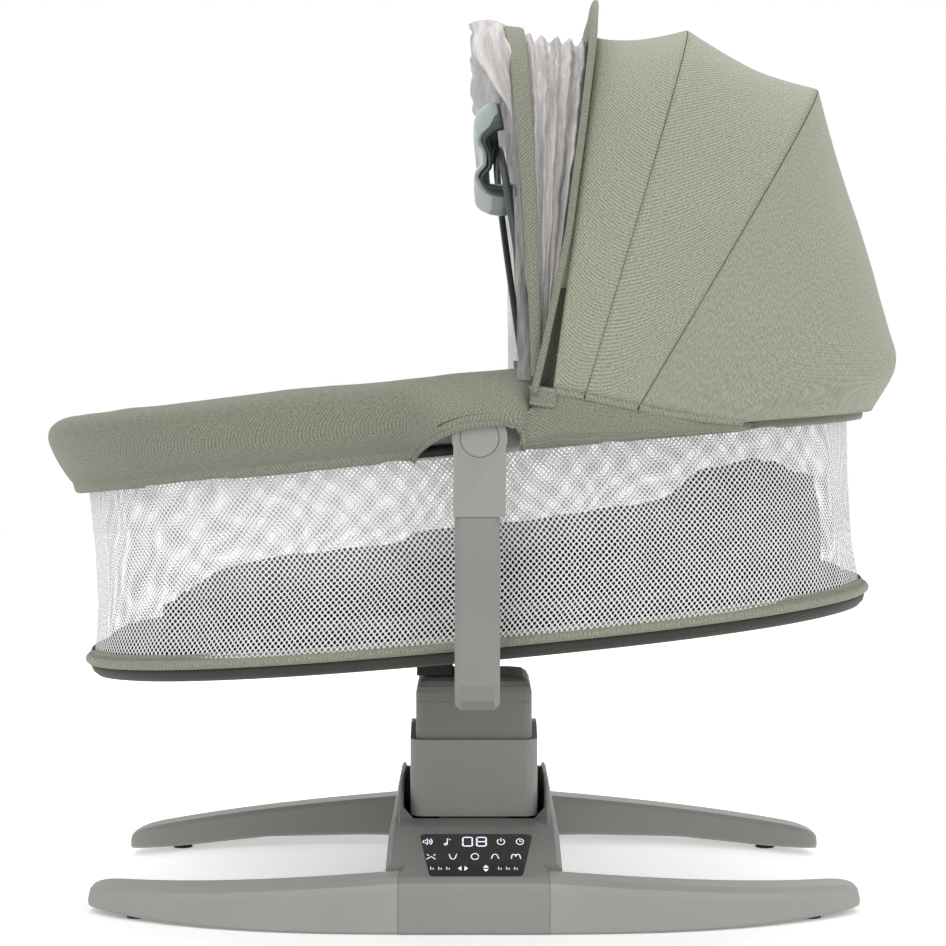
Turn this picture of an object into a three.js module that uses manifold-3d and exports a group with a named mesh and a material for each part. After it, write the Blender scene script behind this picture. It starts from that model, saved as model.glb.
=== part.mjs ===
// A baby swing: a bassinet with a folding canopy, carried by a yoke on a column that sways and lifts
// on a low base. Millimetres, +Z up. The origin is on the floor under the middle of the column.
// +X points to the head end.
import * as THREE from "three";
import { mergeVertices } from "three/addons/utils/BufferGeometryUtils.js";
import Module from "manifold-3d";

const wasm = await Module();
wasm.setup();

// ---- driving dimensions ----
const GAP = 0.3;
const HUB_X = 5;
const HUB_Z = 446;
const HUB_RADIUS = 24.5;
const HUB_CLEARANCE = 27.5;
const BUTTON_RADIUS = 16.8;
const AXLE_RADIUS = 9;
const ARM_OUTER_Y = 285;
const ARM_INNER_Y = 258;
const ARM_WIDTH = 40;
const ARM_THICK = 21;
const ARM_X = HUB_X - 2;
const CASING_BOTTOM = 376.5;
const TILT_DEG = 5.34;

const WALL_CENTRE_TOP = -12;
const WALL_CENTRE_BOTTOM = -19;
const RIM_LENGTH = 384.5;
const RIM_WIDTH = 238;
const RIM_FLARE = 25;
const RIM_SIDE = RIM_WIDTH + RIM_FLARE;
const RIM_TOP = 52;
const RIM_HEM = -19;
const FLOOR_DROP = -183;
const PLAN_POWER = 2.5;
const RIM_ARCH = 5;
const AROUND = 48;

const CANOPY_PIVOT = [74, 5];
const CANOPY_PIN_RADIUS = 5;
const FABRIC = 2;

const SWAY_AXIS_Z = 25;
const SLEEVE_X = 62.3;
const SLEEVE_Y = 60;
const SLEEVE_BOTTOM = 73.6;
const SLEEVE_FRONT = 148;
const SLEEVE_SIDE = 159;
const TUBE_X = 56.8;
const TUBE_Y = 54.5;
const HEAD_BOTTOM = 184.3;
const HEAD_TOP = 208.5;
const BEAM_BOTTOM = 201;
const BEAM_TOP = 221;

const LEG_REACH = 361;
const LEG_SEAM = 68;
const LEG_OUTER_Y = 243;
const LEG_BOW = 86;
const LEG_WIDTH = 44;
const LEG_TOP = 50;
const LEG_TIP = 28;
const FOOT_X = 312;
const BODY_HALF = 81;
const SHELF_Z = 72;
const SLOPE_START = 110;
const SLOPE = 0.2;
const CHEEK_TOP = 108;
const WELL_X = 69;
const WELL_Y = 61.5;
const PANEL_NEAR_Y = -229;
const PANEL_FAR_Y = -126;

const GEAR_MODULE = 2;
const PINION_TEETH = 9;
const SECTOR_TEETH_FULL = 44;
const SECTOR_HUB = 17;
const INLET_X = 28;

// ---- colours ----
const SAGE = 0x9aa18c;
const SAGE_DARK = 0x848b77;
const SHELL = 0x8b8f88;
const SHELL_DARK = 0x7c807a;
const BLACK = 0x1d1d1f;
const STEEL = 0xb4b6b8;
const RUBBER = 0x2b2c2b;
const MESH_WHITE = 0xe4e5e4;
const GAUZE = 0xb9b0ad;
const CHARCOAL = 0x4a4c4b;
const TEAL = 0x7b8884;
const BOARD_GREEN = 0x2f5a3c;
const GEAR_CREAM = 0xe8e4d8;

const plastic = (color) => new THREE.MeshStandardMaterial({ color, roughness: 0.55, metalness: 0 });
const fabric = (color) => new THREE.MeshStandardMaterial({ color, roughness: 0.95, metalness: 0 });
const metal = (color) => new THREE.MeshStandardMaterial({ color, roughness: 0.35, metalness: 1 });

// ---- geometry helpers ----
const rad = THREE.MathUtils.degToRad;
const lerp = THREE.MathUtils.lerp;
const V = (x, y, z) => new THREE.Vector3(x, y, z);

function bare(geometry) {
  const copy = geometry.clone();
  for (const key of Object.keys(copy.attributes)) {
    if (key !== "position") copy.deleteAttribute(key);
  }
  return mergeVertices(copy, 1e-4);
}

function solid(geometry) {
  const g = bare(geometry);
  const vertProperties = new Float32Array(g.attributes.position.array);
  const triVerts = new Uint32Array(g.index.array);
  return new wasm.Manifold(new wasm.Mesh({ numProp: 3, vertProperties, triVerts }));
}

function unsolid(manifold) {
  const mesh = manifold.getMesh();
  const g = new THREE.BufferGeometry();
  g.setAttribute("position", new THREE.BufferAttribute(new Float32Array(mesh.vertProperties), 3));
  g.setIndex(new THREE.BufferAttribute(new Uint32Array(mesh.triVerts), 1));
  return g;
}

const join = (first, ...rest) => unsolid(rest.reduce((sum, g) => sum.add(solid(g)), solid(first)));
const cut = (first, ...rest) => unsolid(rest.reduce((left, g) => left.subtract(solid(g)), solid(first)));
const keep = (first, second) => unsolid(solid(first).intersect(solid(second)));

// A closed body through rings of equal counts. A looped body joins its last ring to its first.
function loft(rings, looped = false) {
  const count = rings[0].length;
  const points = rings.flat();
  const faces = [];
  const last = looped ? rings.length : rings.length - 1;
  for (let i = 0; i < last; i++) {
    const a = i * count;
    const b = ((i + 1) % rings.length) * count;
    for (let j = 0; j < count; j++) {
      const k = (j + 1) % count;
      faces.push(a + j, b + j, b + k, a + j, b + k, a + k);
    }
  }
  if (!looped) {
    cap(rings[0]).forEach(([p, q, r]) => faces.push(p, q, r));
    const start = (rings.length - 1) * count;
    cap(rings[rings.length - 1]).forEach(([p, q, r]) => faces.push(start + p, start + r, start + q));
  }
  return outward(points, faces);
}

function cap(ring) {
  const normal = V(0, 0, 0);
  ring.forEach((p, i) => normal.add(p.clone().cross(ring[(i + 1) % ring.length])));
  normal.normalize();
  const across = V(0, 0, 0).subVectors(ring[1], ring[0]).projectOnPlane(normal).normalize();
  const up = normal.clone().cross(across);
  const flat = ring.map((p) => new THREE.Vector2(p.dot(across), p.dot(up)));
  return THREE.ShapeUtils.triangulateShape(flat, []);
}

function outward(points, faces) {
  let volume = 0;
  for (let i = 0; i < faces.length; i += 3) {
    volume += points[faces[i]].dot(points[faces[i + 1]].clone().cross(points[faces[i + 2]]));
  }
  if (volume < 0) {
    for (let i = 0; i < faces.length; i += 3) {
      [faces[i + 1], faces[i + 2]] = [faces[i + 2], faces[i + 1]];
    }
  }
  const g = new THREE.BufferGeometry().setFromPoints(points);
  g.setIndex(faces);
  return bare(g);
}

// A sheet of the given thickness under a grid of points (rows of equal length).
function shell(grid, thickness) {
  const rows = grid.length;
  const cols = grid[0].length;
  const at = (i, j) => grid[Math.min(Math.max(i, 0), rows - 1)][Math.min(Math.max(j, 0), cols - 1)];
  const under = grid.map((row, i) => row.map((p, j) => {
    const along = V(0, 0, 0).subVectors(at(i + 1, j), at(i - 1, j));
    const across = V(0, 0, 0).subVectors(at(i, j + 1), at(i, j - 1));
    return p.clone().addScaledVector(along.cross(across).normalize(), -thickness);
  }));
  const rings = [];
  for (let i = 0; i < rows; i++) rings.push([...grid[i], ...under[i].slice().reverse()]);
  return stitched(rings, cols);
}

function stitched(rings, cols) {
  const count = rings[0].length;
  const faces = [];
  for (let i = 0; i < rings.length - 1; i++) {
    for (let j = 0; j < count; j++) {
      const k = (j + 1) % count;
      const a = i * count;
      const b = a + count;
      faces.push(a + j, b + j, b + k, a + j, b + k, a + k);
    }
  }
  const end = (rings.length - 1) * count;
  for (let j = 0; j < cols - 1; j++) {
    const m = count - 1 - j;
    faces.push(j, j + 1, m - 1, j, m - 1, m);
    faces.push(end + j, end + m, end + m - 1, end + j, end + m - 1, end + j + 1);
  }
  return outward(rings.flat(), faces);
}

function box(x0, x1, y0, y1, z0, z1) {
  const block = new THREE.BoxGeometry(x1 - x0, y1 - y0, z1 - z0);
  return block.translate((x0 + x1) / 2, (y0 + y1) / 2, (z0 + z1) / 2);
}

function rod(radius, y0, y1, sides = 32) {
  const bar = new THREE.CylinderGeometry(radius, radius, Math.abs(y1 - y0), sides);
  return bar.translate(0, (y0 + y1) / 2, 0);
}

function post(radius, z0, z1, sides = 32) {
  const bar = new THREE.CylinderGeometry(radius, radius, z1 - z0, sides).rotateX(Math.PI / 2);
  return bar.translate(0, 0, (z0 + z1) / 2);
}

function roundedShape(halfX, halfY, radius) {
  const s = new THREE.Shape();
  s.moveTo(-halfX + radius, -halfY);
  s.lineTo(halfX - radius, -halfY);
  s.absarc(halfX - radius, -halfY + radius, radius, -Math.PI / 2, 0);
  s.lineTo(halfX, halfY - radius);
  s.absarc(halfX - radius, halfY - radius, radius, 0, Math.PI / 2);
  s.lineTo(-halfX + radius, halfY);
  s.absarc(-halfX + radius, halfY - radius, radius, Math.PI / 2, Math.PI);
  s.lineTo(-halfX, -halfY + radius);
  s.absarc(-halfX + radius, -halfY + radius, radius, Math.PI, 1.5 * Math.PI);
  return s;
}

function prism(shape, z0, z1, curveSegments = 6) {
  const settings = { depth: z1 - z0, bevelEnabled: false, curveSegments };
  return new THREE.ExtrudeGeometry(shape, settings).translate(0, 0, z0);
}

function mirrored(geometry, signX, signY) {
  const g = bare(geometry);
  const points = [];
  const p = g.attributes.position;
  for (let i = 0; i < p.count; i++) points.push(V(signX * p.getX(i), signY * p.getY(i), p.getZ(i)));
  return outward(points, Array.from(g.index.array));
}

const mirrorX = (geometry) => mirrored(geometry, -1, 1);
const mirrorY = (geometry) => mirrored(geometry, 1, -1);

// ---- scene graph ----
const swing = new THREE.Group();
const bassinet = new THREE.Group();
bassinet.position.set(HUB_X, 0, HUB_Z);
bassinet.rotation.y = -rad(TILT_DEG);
swing.add(bassinet);

function add(parent, name, geometry, material) {
  const mesh = new THREE.Mesh(geometry, material);
  mesh.name = name;
  parent.add(mesh);
}

// ---- base ----
const legOuter = (x) => LEG_OUTER_Y - LEG_BOW * (x / LEG_REACH) ** 3.2;
const legTop = (x) => LEG_TOP - 0.079 * Math.max(x - LEG_SEAM, 0);
const legBottom = (x) => 6 * (Math.max(x - 150, 0) / (LEG_REACH - 150)) ** 2;

// Cross-section of a leg: a tall outer wall, a chamfer up to the top, and an inner wall that ends
// a little above the floor. At the tip it is drawn in and its top comes down.
function legSection(x, inset = 0, drop = 0) {
  const out = legOuter(x) - inset;
  const inn = legOuter(x) - LEG_WIDTH + inset;
  const top = legTop(x) - drop;
  const low = legBottom(x) + drop * 0.1;
  const arched = Math.min(Math.max(x - LEG_SEAM, 0) / 30, 1) * Math.min(Math.max(310 - x, 0) / 90, 1);
  const lift = low + 1 + 6 * arched;
  const wall = Math.min(9, (top - low) / 2);
  const outline = [[inn + 3, lift], [out - 3, low], [out, low + 3], [out, top - wall], [out - 3, top - 4],
    [out - 10, top], [inn + 4, top], [inn, top - 4], [inn, lift + 3]];
  return outline.map(([y, z]) => V(x, -y, z));
}

function leg() {
  const rings = [];
  for (let x = LEG_SEAM + GAP; x < LEG_REACH - LEG_TIP - 4; x += 26) rings.push(legSection(x));
  for (const turn of [0, 25, 45, 62, 77, 89]) {
    const x = LEG_REACH - LEG_TIP * (1 - Math.sin(rad(turn)));
    const share = 1 - Math.cos(rad(turn));
    rings.push(legSection(x, 8 * share, 8 * share));
  }
  return loft(rings);
}

const slopeZ = (y) => SHELF_Z - Math.max(Math.abs(y) - SLOPE_START, 0) * SLOPE;

// A block across the base whose top follows the sloping front and back.
function slopedBlock(half, reach, lowZ, drop) {
  const rings = [-reach, -SLOPE_START, SLOPE_START, reach].map((y) => {
    const top = slopeZ(y) - drop;
    return [V(-half, y, lowZ), V(half, y, lowZ), V(half, y, top - 6), V(half - 5, y, top),
      V(-half + 5, y, top), V(-half, y, top - 6)];
  });
  return loft(rings);
}

// The wing of the body beside the column: it swells up from the shelf and down again at the back.
function cheek() {
  const tops = [[-96, SHELF_Z], [-78, 76], [-64, 84], [-48, 95], [-28, 104], [-8, CHEEK_TOP],
    [58, CHEEK_TOP], [80, 96], [108, SHELF_Z]];
  return loft(tops.map(([y, top]) => {
    const middle = lerp(SHELF_Z - 6, top, 0.55);
    return [V(58, y, 40), V(BODY_HALF, y, 40), V(BODY_HALF, y, SHELF_Z - 6), V(76.5, y, middle),
      V(73.5, y, top - 3), V(71.5, y, top), V(WELL_X + 0.5, y, top), V(58, y, SHELF_Z - 1)];
  }));
}

// The wall behind the column, between the two wings.
function collar() {
  return loft([[56, 103], [68, 103], [80, 93], [108, SHELF_Z - 2]].map(([y, top]) => {
    return [V(-70, y, 40), V(70, y, 40), V(70, y, top), V(-70, y, top)];
  }));
}

function baseBody() {
  const bar = loft([-LEG_SEAM, LEG_SEAM].map((x) => legSection(0).map((p) => V(x, p.y, p.z))));
  const outer = join(slopedBlock(BODY_HALF, 194.5, 0, 0), slopedBlock(LEG_SEAM, 236, 30, 0), bar,
    mirrorY(bar), cheek(), mirrorX(cheek()), collar());
  const hollow = slopedBlock(BODY_HALF - 5, 189, -1, 5);
  const well = box(-WELL_X, WELL_X, -WELL_Y, WELL_Y, 20, 140);
  const ledge = box(-BODY_HALF + 2, BODY_HALF - 2, -192, 192, -1, 3.4);
  const bed = panelPlate(0.4, -1, 4.2);
  const window = panelPlate(-10, -12, 2);
  const jack = box(INLET_X - 9, INLET_X + 9, 180, 260, 12, 30);
  return cut(outer, hollow, well, ledge, bed, window, jack);
}

// The glass plate of the controls: a trapezoid with round corners lying on the slope.
function panelPlate(grow, low, high) {
  const nearHalf = 41 + grow;
  const farHalf = 53 + grow;
  const length = PANEL_FAR_Y - PANEL_NEAR_Y;
  const r = 8;
  const s = new THREE.Shape();
  const y0 = -grow;
  const y1 = length / Math.cos(Math.atan(SLOPE)) + grow;
  s.moveTo(-nearHalf + r, y0);
  s.lineTo(nearHalf - r, y0);
  s.quadraticCurveTo(nearHalf, y0, nearHalf + 1, y0 + r);
  s.lineTo(farHalf - 1, y1 - r);
  s.quadraticCurveTo(farHalf, y1, farHalf - r, y1);
  s.lineTo(-farHalf + r, y1);
  s.quadraticCurveTo(-farHalf, y1, -farHalf + 1, y1 - r);
  s.lineTo(-nearHalf - 1, y0 + r);
  s.quadraticCurveTo(-nearHalf, y0, -nearHalf + r, y0);
  const plate = prism(s, low, high, 5);
  plate.rotateX(Math.atan(SLOPE));
  return plate.translate(2, PANEL_NEAR_Y, slopeZ(PANEL_NEAR_Y) - 2.6);
}

function gearShape(teeth, first, count, bore) {
  const pitch = (GEAR_MODULE * teeth) / 2;
  const tip = pitch + GEAR_MODULE * 0.85;
  const root = pitch - GEAR_MODULE * 1.15;
  const step = (2 * Math.PI) / teeth;
  const s = new THREE.Shape();
  const outline = [];
  for (let i = 0; i < count; i++) {
    const mid = (first + i) * step;
    outline.push([root, mid - step * 0.3], [tip, mid - step * 0.11], [tip, mid + step * 0.11],
      [root, mid + step * 0.3]);
  }
  const points = outline.map(([r, a]) => [r * Math.cos(a), r * Math.sin(a)]);
  if (count < teeth) {
    for (const a of [2.2, -2.2]) points.push([SECTOR_HUB * Math.cos(a), SECTOR_HUB * Math.sin(a)]);
  }
  points.forEach(([x, y], i) => (i ? s.lineTo(x, y) : s.moveTo(x, y)));
  s.holes.push(new THREE.Path().absarc(0, 0, bore, 0, 2 * Math.PI, true));
  return s;
}

const PINION_X = -(GEAR_MODULE * (PINION_TEETH + SECTOR_TEETH_FULL)) / 2;

function pinion() {
  const g = prism(gearShape(PINION_TEETH, 0.5, PINION_TEETH, 3.3), 0, 9, 8);
  return g.rotateX(Math.PI / 2).translate(PINION_X, 60, SWAY_AXIS_Z);
}

function sector() {
  const g = prism(gearShape(SECTOR_TEETH_FULL, -2, 5, 7.3), 0, 7, 8);
  return g.rotateX(Math.PI / 2).rotateY(Math.PI).translate(0, 59, SWAY_AXIS_Z);
}

function motor() {
  const can = rod(15, 62, 112, 28);
  const neck = rod(3, 50.6, 62.5, 16);
  return join(can, neck).translate(PINION_X, 0, SWAY_AXIS_Z);
}

function rockerFrame() {
  const block = box(-34, 34, -46, 46, 12, SLEEVE_BOTTOM - GAP);
  const hollow = box(-26, 26, -40, 40, 5, 66);
  const bore = rod(6.4, -60, 60, 28).translate(0, 0, SWAY_AXIS_Z);
  return cut(block, hollow, bore);
}

function axleBracket(side) {
  const plate = box(-16, 16, 62.5, 69, 4, 46);
  const bore = rod(6.3, 40, 90, 28).translate(0, 0, SWAY_AXIS_Z);
  const g = cut(plate, bore);
  return side < 0 ? mirrorY(g) : g;
}

function buildBase() {
  add(swing, "base_body", baseBody(), plastic(SHELL));
  const plate = box(-BODY_HALF + 2.4, BODY_HALF - 2.4, -191.6, 191.6, 1.0, 3.1);
  add(swing, "base_bottom_plate", plate, plastic(SHELL_DARK));
  const footY = legOuter(FOOT_X) - 22;
  for (const [tag, signX, signY] of [["front_foot_end", -1, 1], ["front_head_end", 1, 1],
    ["rear_foot_end", -1, -1], ["rear_head_end", 1, -1]]) {
    add(swing, `leg_${tag}`, mirrored(leg(), signX, signY), plastic(SHELL));
    const foot = post(10, 0, 2.8, 24).translate(signX * FOOT_X, -signY * footY, 0);
    add(swing, `foot_pad_${tag}`, foot, plastic(RUBBER));
  }
  add(swing, "control_panel", panelPlate(0, 0.2, 2.8), plastic(BLACK));
  add(swing, "circuit_board", box(-38, 42, -180, -112, 44, 45.6), plastic(BOARD_GREEN));
  add(swing, "speaker", speaker(), plastic(BLACK));
  add(swing, "power_inlet", powerInlet(), plastic(BLACK));
  add(swing, "sway_axle", rod(6, -72, 72, 28).translate(0, 0, SWAY_AXIS_Z), metal(STEEL));
  add(swing, "axle_bracket_front", axleBracket(-1), metal(STEEL));
  add(swing, "axle_bracket_rear", axleBracket(1), metal(STEEL));
  add(swing, "sway_motor", motor(), metal(STEEL));
  add(swing, "sway_pinion", pinion(), plastic(GEAR_CREAM));
}

function speaker() {
  const profile = [[0, 0], [9, 0], [9, 8], [22, 14], [24, 14], [24, 17], [0, 17]];
  const outline = profile.map(([r, z]) => new THREE.Vector2(r, z));
  return new THREE.LatheGeometry(outline, 28).rotateX(Math.PI / 2).translate(44, 140, 8);
}

function powerInlet() {
  const body = box(INLET_X - 8.6, INLET_X + 8.6, 218, LEG_OUTER_Y - 0.4, 12.4, 29.6);
  const socket = rod(4, 228, 250, 20).translate(INLET_X, 0, 21);
  return cut(body, socket);
}

// ---- column ----
// The lower sleeve: its rim is low at the front and back and rises at the sides.
function sleeve() {
  const outer = prism(roundedShape(SLEEVE_X, SLEEVE_Y, 14), SLEEVE_BOTTOM, SLEEVE_SIDE);
  const inner = prism(roundedShape(TUBE_X + 0.4, TUBE_Y + 0.4, 10), SLEEVE_BOTTOM + 5, 170);
  const high = SLEEVE_SIDE + 0.5;
  const rim = [[-80, SLEEVE_FRONT], [-44, SLEEVE_FRONT], [-34, SLEEVE_FRONT + 2.5], [-22, SLEEVE_SIDE - 3],
    [-12, high], [12, high], [22, SLEEVE_SIDE - 3], [34, SLEEVE_FRONT + 2.5], [44, SLEEVE_FRONT],
    [80, SLEEVE_FRONT], [80, 175], [-80, 175]];
  const above = loft([-80, 80].map((x) => rim.map(([y, z]) => V(x, y, z))));
  return cut(outer, inner, above);
}

function upperTube() {
  const top = HEAD_BOTTOM - GAP;
  const outer = prism(roundedShape(TUBE_X, TUBE_Y, 9.6), SLEEVE_BOTTOM + 32, top);
  const inner = prism(roundedShape(TUBE_X - 4, TUBE_Y - 4, 6), SLEEVE_BOTTOM + 20, top - 5);
  return cut(outer, inner);
}

// The head of the column: rounded at the top, with a slot across it that holds the beam of the yoke.
function columnHead() {
  const low = prism(roundedShape(TUBE_X, TUBE_Y + 0.5, 9.6), HEAD_BOTTOM, HEAD_TOP - 15, 4);
  const steps = [[0, -15.5], [1, -10], [4, -4.5], [8.5, -1.2], [15, 0]];
  const high = loft(steps.map(([inset, down]) => {
    const shape = roundedShape(TUBE_X - inset, TUBE_Y + 0.5 - inset, 9);
    return shape.getPoints(4).slice(0, -1).map((p) => V(p.x, p.y, HEAD_TOP + down));
  }));
  const side = ARM_WIDTH / 2 + 0.4;
  const slot = box(ARM_X - side, ARM_X + side, -80, 80, BEAM_BOTTOM - 0.4, BEAM_TOP);
  return cut(join(low, high), slot);
}

function saddle() {
  const profile = [[-56, 0], [-21.4, 0], [-21.4, 18.5], [-34, 18.5], [-44, 13], [-56, 13]];
  const s = new THREE.Shape(profile.map(([x, z]) => new THREE.Vector2(x, HEAD_TOP + GAP + z)));
  return prism(s, -44, 44).rotateX(Math.PI / 2);
}

function saddleScrew(x, y, z) {
  const head = post(5, z, z + 3.2, 16).translate(x, y, 0);
  const slot = post(2.2, z + 1.4, z + 5, 6).translate(x, y, 0);
  return cut(head, slot);
}

function actuatorBody() {
  return cut(post(17, SLEEVE_BOTTOM + 5 + GAP, 150, 28), post(8.4, 90, 160, 20));
}

function actuatorRod() {
  return post(8, 112, HEAD_BOTTOM - 5 - 2 * GAP, 20);
}

function buildColumn() {
  add(swing, "rocker_frame", rockerFrame(), metal(STEEL));
  add(swing, "sway_sector_gear", sector(), plastic(GEAR_CREAM));
  add(swing, "column_lower_sleeve", sleeve(), plastic(SHELL_DARK));
  add(swing, "lift_actuator_body", actuatorBody(), metal(STEEL));
  add(swing, "lift_actuator_rod", actuatorRod(), metal(STEEL));
  add(swing, "column_upper_tube", upperTube(), plastic(SHELL_DARK));
  add(swing, "column_head", columnHead(), plastic(SHELL));
  add(swing, "yoke_saddle", saddle(), plastic(BLACK));
  const seat = HEAD_TOP + 13 + 2 * GAP;
  add(swing, "saddle_screw_1", saddleScrew(-50, -24, seat), metal(STEEL));
  add(swing, "saddle_screw_2", saddleScrew(-50, 24, seat), metal(STEEL));
}

// ---- yoke ----
// One arm: from inside the column head outwards under the bassinet, round a bend and up to its casing.
function arm() {
  const stations = [];
  const beamMid = (BEAM_BOTTOM + BEAM_TOP) / 2;
  const half = ARM_WIDTH / 2;
  for (const y of [8, 60, 130, 200, 240]) {
    stations.push({ y, z: beamMid, turn: 0, half: half - 0.2, t: BEAM_TOP - BEAM_BOTTOM });
  }
  const bend = 34;
  const middleY = ARM_OUTER_Y - ARM_THICK / 2 - 1;
  for (const turn of [22, 45, 68, 90].map(rad)) {
    const y = middleY - bend + bend * Math.sin(turn);
    stations.push({ y, z: beamMid + bend - bend * Math.cos(turn), turn, half, t: ARM_THICK });
  }
  for (const z of [320, CASING_BOTTOM - GAP]) {
    stations.push({ y: middleY, z, turn: Math.PI / 2, half, t: ARM_THICK });
  }
  return loft(stations.map((station) => {
    const ny = Math.sin(station.turn);
    const nz = -Math.cos(station.turn);
    const outline = chamfered(station.half, station.t / 2, 5);
    return outline.map(([x, n]) => V(ARM_X + x, station.y + n * ny, station.z + n * nz));
  }));
}

// The eight corners of a rectangle with chamfered edges.
function chamfered(a, b, c) {
  return [[-a + c, -b], [a - c, -b], [a, -b + c], [a, b - c], [a - c, b], [-a + c, b], [-a, b - c],
    [-a, -b + c]];
}

// The casing at the top of an arm: a round head about the hub over a straight block.
function armCasing() {
  const s = new THREE.Shape();
  const half = 23;
  const bottom = CASING_BOTTOM - HUB_Z;
  s.moveTo(-half + 2.5, bottom);
  s.lineTo(half - 2.5, bottom);
  s.quadraticCurveTo(half, bottom, half, bottom + 2.5);
  s.lineTo(half, -8);
  s.absarc(0, 0, HUB_RADIUS, -0.34, Math.PI + 0.34);
  s.lineTo(-half, bottom + 2.5);
  s.quadraticCurveTo(-half, bottom, -half + 2.5, bottom);
  const block = prism(s, -ARM_OUTER_Y, -ARM_INNER_Y, 10).rotateX(Math.PI / 2);
  const well = rod(BUTTON_RADIUS + 0.5, 268, 300, 40);
  const bore = rod(AXLE_RADIUS + 0.5, 240, 300, 32);
  return cut(block, well, bore).translate(HUB_X, 0, HUB_Z);
}

function buildYoke() {
  for (const side of [-1, 1]) {
    const tag = side < 0 ? "front" : "rear";
    const turnSide = (g) => (side < 0 ? mirrorY(g) : g);
    add(swing, `yoke_arm_${tag}`, turnSide(arm()), plastic(SHELL_DARK));
    add(swing, `hub_casing_${tag}`, turnSide(armCasing()), plastic(SHELL));
    const button = rod(BUTTON_RADIUS, 276, ARM_OUTER_Y - 0.5, 40).translate(HUB_X, 0, HUB_Z);
    add(swing, `hub_button_${tag}`, turnSide(button), plastic(SHELL));
    const spring = rod(12, 268.4, 275.6, 24).translate(HUB_X, 0, HUB_Z);
    const hole = rod(10.4, 260, 280, 24).translate(HUB_X, 0, HUB_Z);
    add(swing, `button_spring_${tag}`, turnSide(cut(spring, hole)), metal(STEEL));
  }
}

// ---- bassinet, in its own level frame with the hub axis at the origin ----
// A point of the plan outline: a superellipse, moved out along its normal.
function planPoint(angle, length, width, centre, out) {
  const c = Math.cos(angle);
  const s = Math.sin(angle);
  const e = 2 / PLAN_POWER;
  const x = length * Math.sign(c) * Math.abs(c) ** e;
  const y = width * Math.sign(s) * Math.abs(s) ** e;
  const nx = Math.sign(c) * Math.abs(x / length) ** (PLAN_POWER - 1) / length;
  const ny = Math.sign(s) * Math.abs(y / width) ** (PLAN_POWER - 1) / width;
  const n = Math.hypot(nx, ny);
  return [centre + x + (out * nx) / n, y + (out * ny) / n];
}

const arch = (x) => RIM_ARCH * (1 - (x / 400) ** 2);
const keel = (x) => -3 * (1 - (x / 400) ** 2);
const rimCentre = () => WALL_CENTRE_TOP;
const floorCentre = () => WALL_CENTRE_BOTTOM;
const wallCentre = (z) => lerp(WALL_CENTRE_TOP, WALL_CENTRE_BOTTOM, z / FLOOR_DROP);

// A ring round the plan outline with a closed section of [out, height] points.
function planRing(section, length, width, centre, around = AROUND, rise = arch) {
  const rings = [];
  for (let i = 0; i < around; i++) {
    const angle = (2 * Math.PI * i) / around;
    rings.push(section.map(([out, z]) => {
      const [x, y] = planPoint(angle, length, width, centre(z), out);
      return V(x, y, z + rise(x));
    }));
  }
  return loft(rings, true);
}

function rimCover() {
  const t = 3;
  const section = [[0, RIM_HEM], [14, 4], [RIM_FLARE, 33], [19, 45], [0, RIM_TOP], [-20, 45], [-26, 4],
    [-26 + t, 4], [-19.5, 42], [0, RIM_TOP - t], [17, 42], [RIM_FLARE - t, 33], [14 - t, 5], [-t, RIM_HEM]];
  const ring = planRing(section, RIM_LENGTH, RIM_WIDTH, rimCentre);
  const hubHole = rod(HUB_CLEARANCE, -300, 300, 36);
  const hubMouth = box(-HUB_CLEARANCE, HUB_CLEARANCE, -300, 300, -40, 0);
  const hinge = rod(12.4, -300, 300, 28).translate(CANOPY_PIVOT[0], 0, CANOPY_PIVOT[1]);
  const keepOut = box(-500, 500, -200, 200, -60, 100);
  return cut(ring, cut(join(hubHole, hubMouth), keepOut), cut(hinge, keepOut));
}

function rimFrame() {
  const section = [];
  for (let i = 0; i < 6; i++) {
    const a = (2 * Math.PI * (i + 0.5)) / 6;
    section.push([-3 + 9.5 * Math.cos(a), 27 + 9.5 * Math.sin(a)]);
  }
  return planRing(section, RIM_LENGTH, RIM_WIDTH, rimCentre, 40);
}

function meshWall() {
  const levels = [[-8, -12], [-11.5, -90], [-5, -178]];
  const back = levels.map(([out, z]) => [out - 2, z]).reverse();
  return planRing([...levels, ...back], RIM_LENGTH, RIM_WIDTH, wallCentre, AROUND, (x) => arch(x) * 0.6);
}

function floorPiping() {
  const section = [];
  for (let i = 0; i < 6; i++) {
    const a = (2 * Math.PI * (i + 0.5)) / 6;
    section.push([-1 + 4.6 * Math.cos(a), FLOOR_DROP + 4.6 * Math.sin(a)]);
  }
  return planRing(section, RIM_LENGTH, RIM_WIDTH - 4, floorCentre, AROUND, keel);
}

// A plate that follows the plan outline.
function planPlate(out, z0, z1, taper, around = AROUND, rise = keel) {
  const ring = (z, o) => {
    const points = [];
    for (let i = 0; i < around; i++) {
      const angle = (2 * Math.PI * i) / around;
      const [x, y] = planPoint(angle, RIM_LENGTH, RIM_WIDTH - 4, WALL_CENTRE_BOTTOM, o);
      points.push(V(x, y, z + rise(x)));
    }
    return points;
  };
  return loft([ring(z0, out - taper), ring(z1, out)]);
}

function floorBoard() {
  return planPlate(-1, FLOOR_DROP - 17, FLOOR_DROP - 5, 9);
}

function mattress() {
  return planPlate(-14, FLOOR_DROP - 0.5, FLOOR_DROP + 24, -2, 40, () => 0);
}

// The padded support for the body: low at the foot end and rising in steps to the head end.
function seatInsert() {
  const profile = [[-330, -128], [-240, -115], [-95, -112], [-80, -102], [30, -101], [150, -95],
    [185, -92], [230, -64], [300, -54], [345, -60]];
  const low = FLOOR_DROP + 25;
  const curve = profile.map(([x, z]) => new THREE.Vector2(x, z));
  const s = new THREE.Shape([new THREE.Vector2(-330, low), ...curve, new THREE.Vector2(345, low)].reverse());
  const slab = prism(s, -190, 190).rotateX(Math.PI / 2);
  return keep(slab, planPlate(-26, FLOOR_DROP + 22, 0, -2, 40, () => 0));
}

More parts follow.
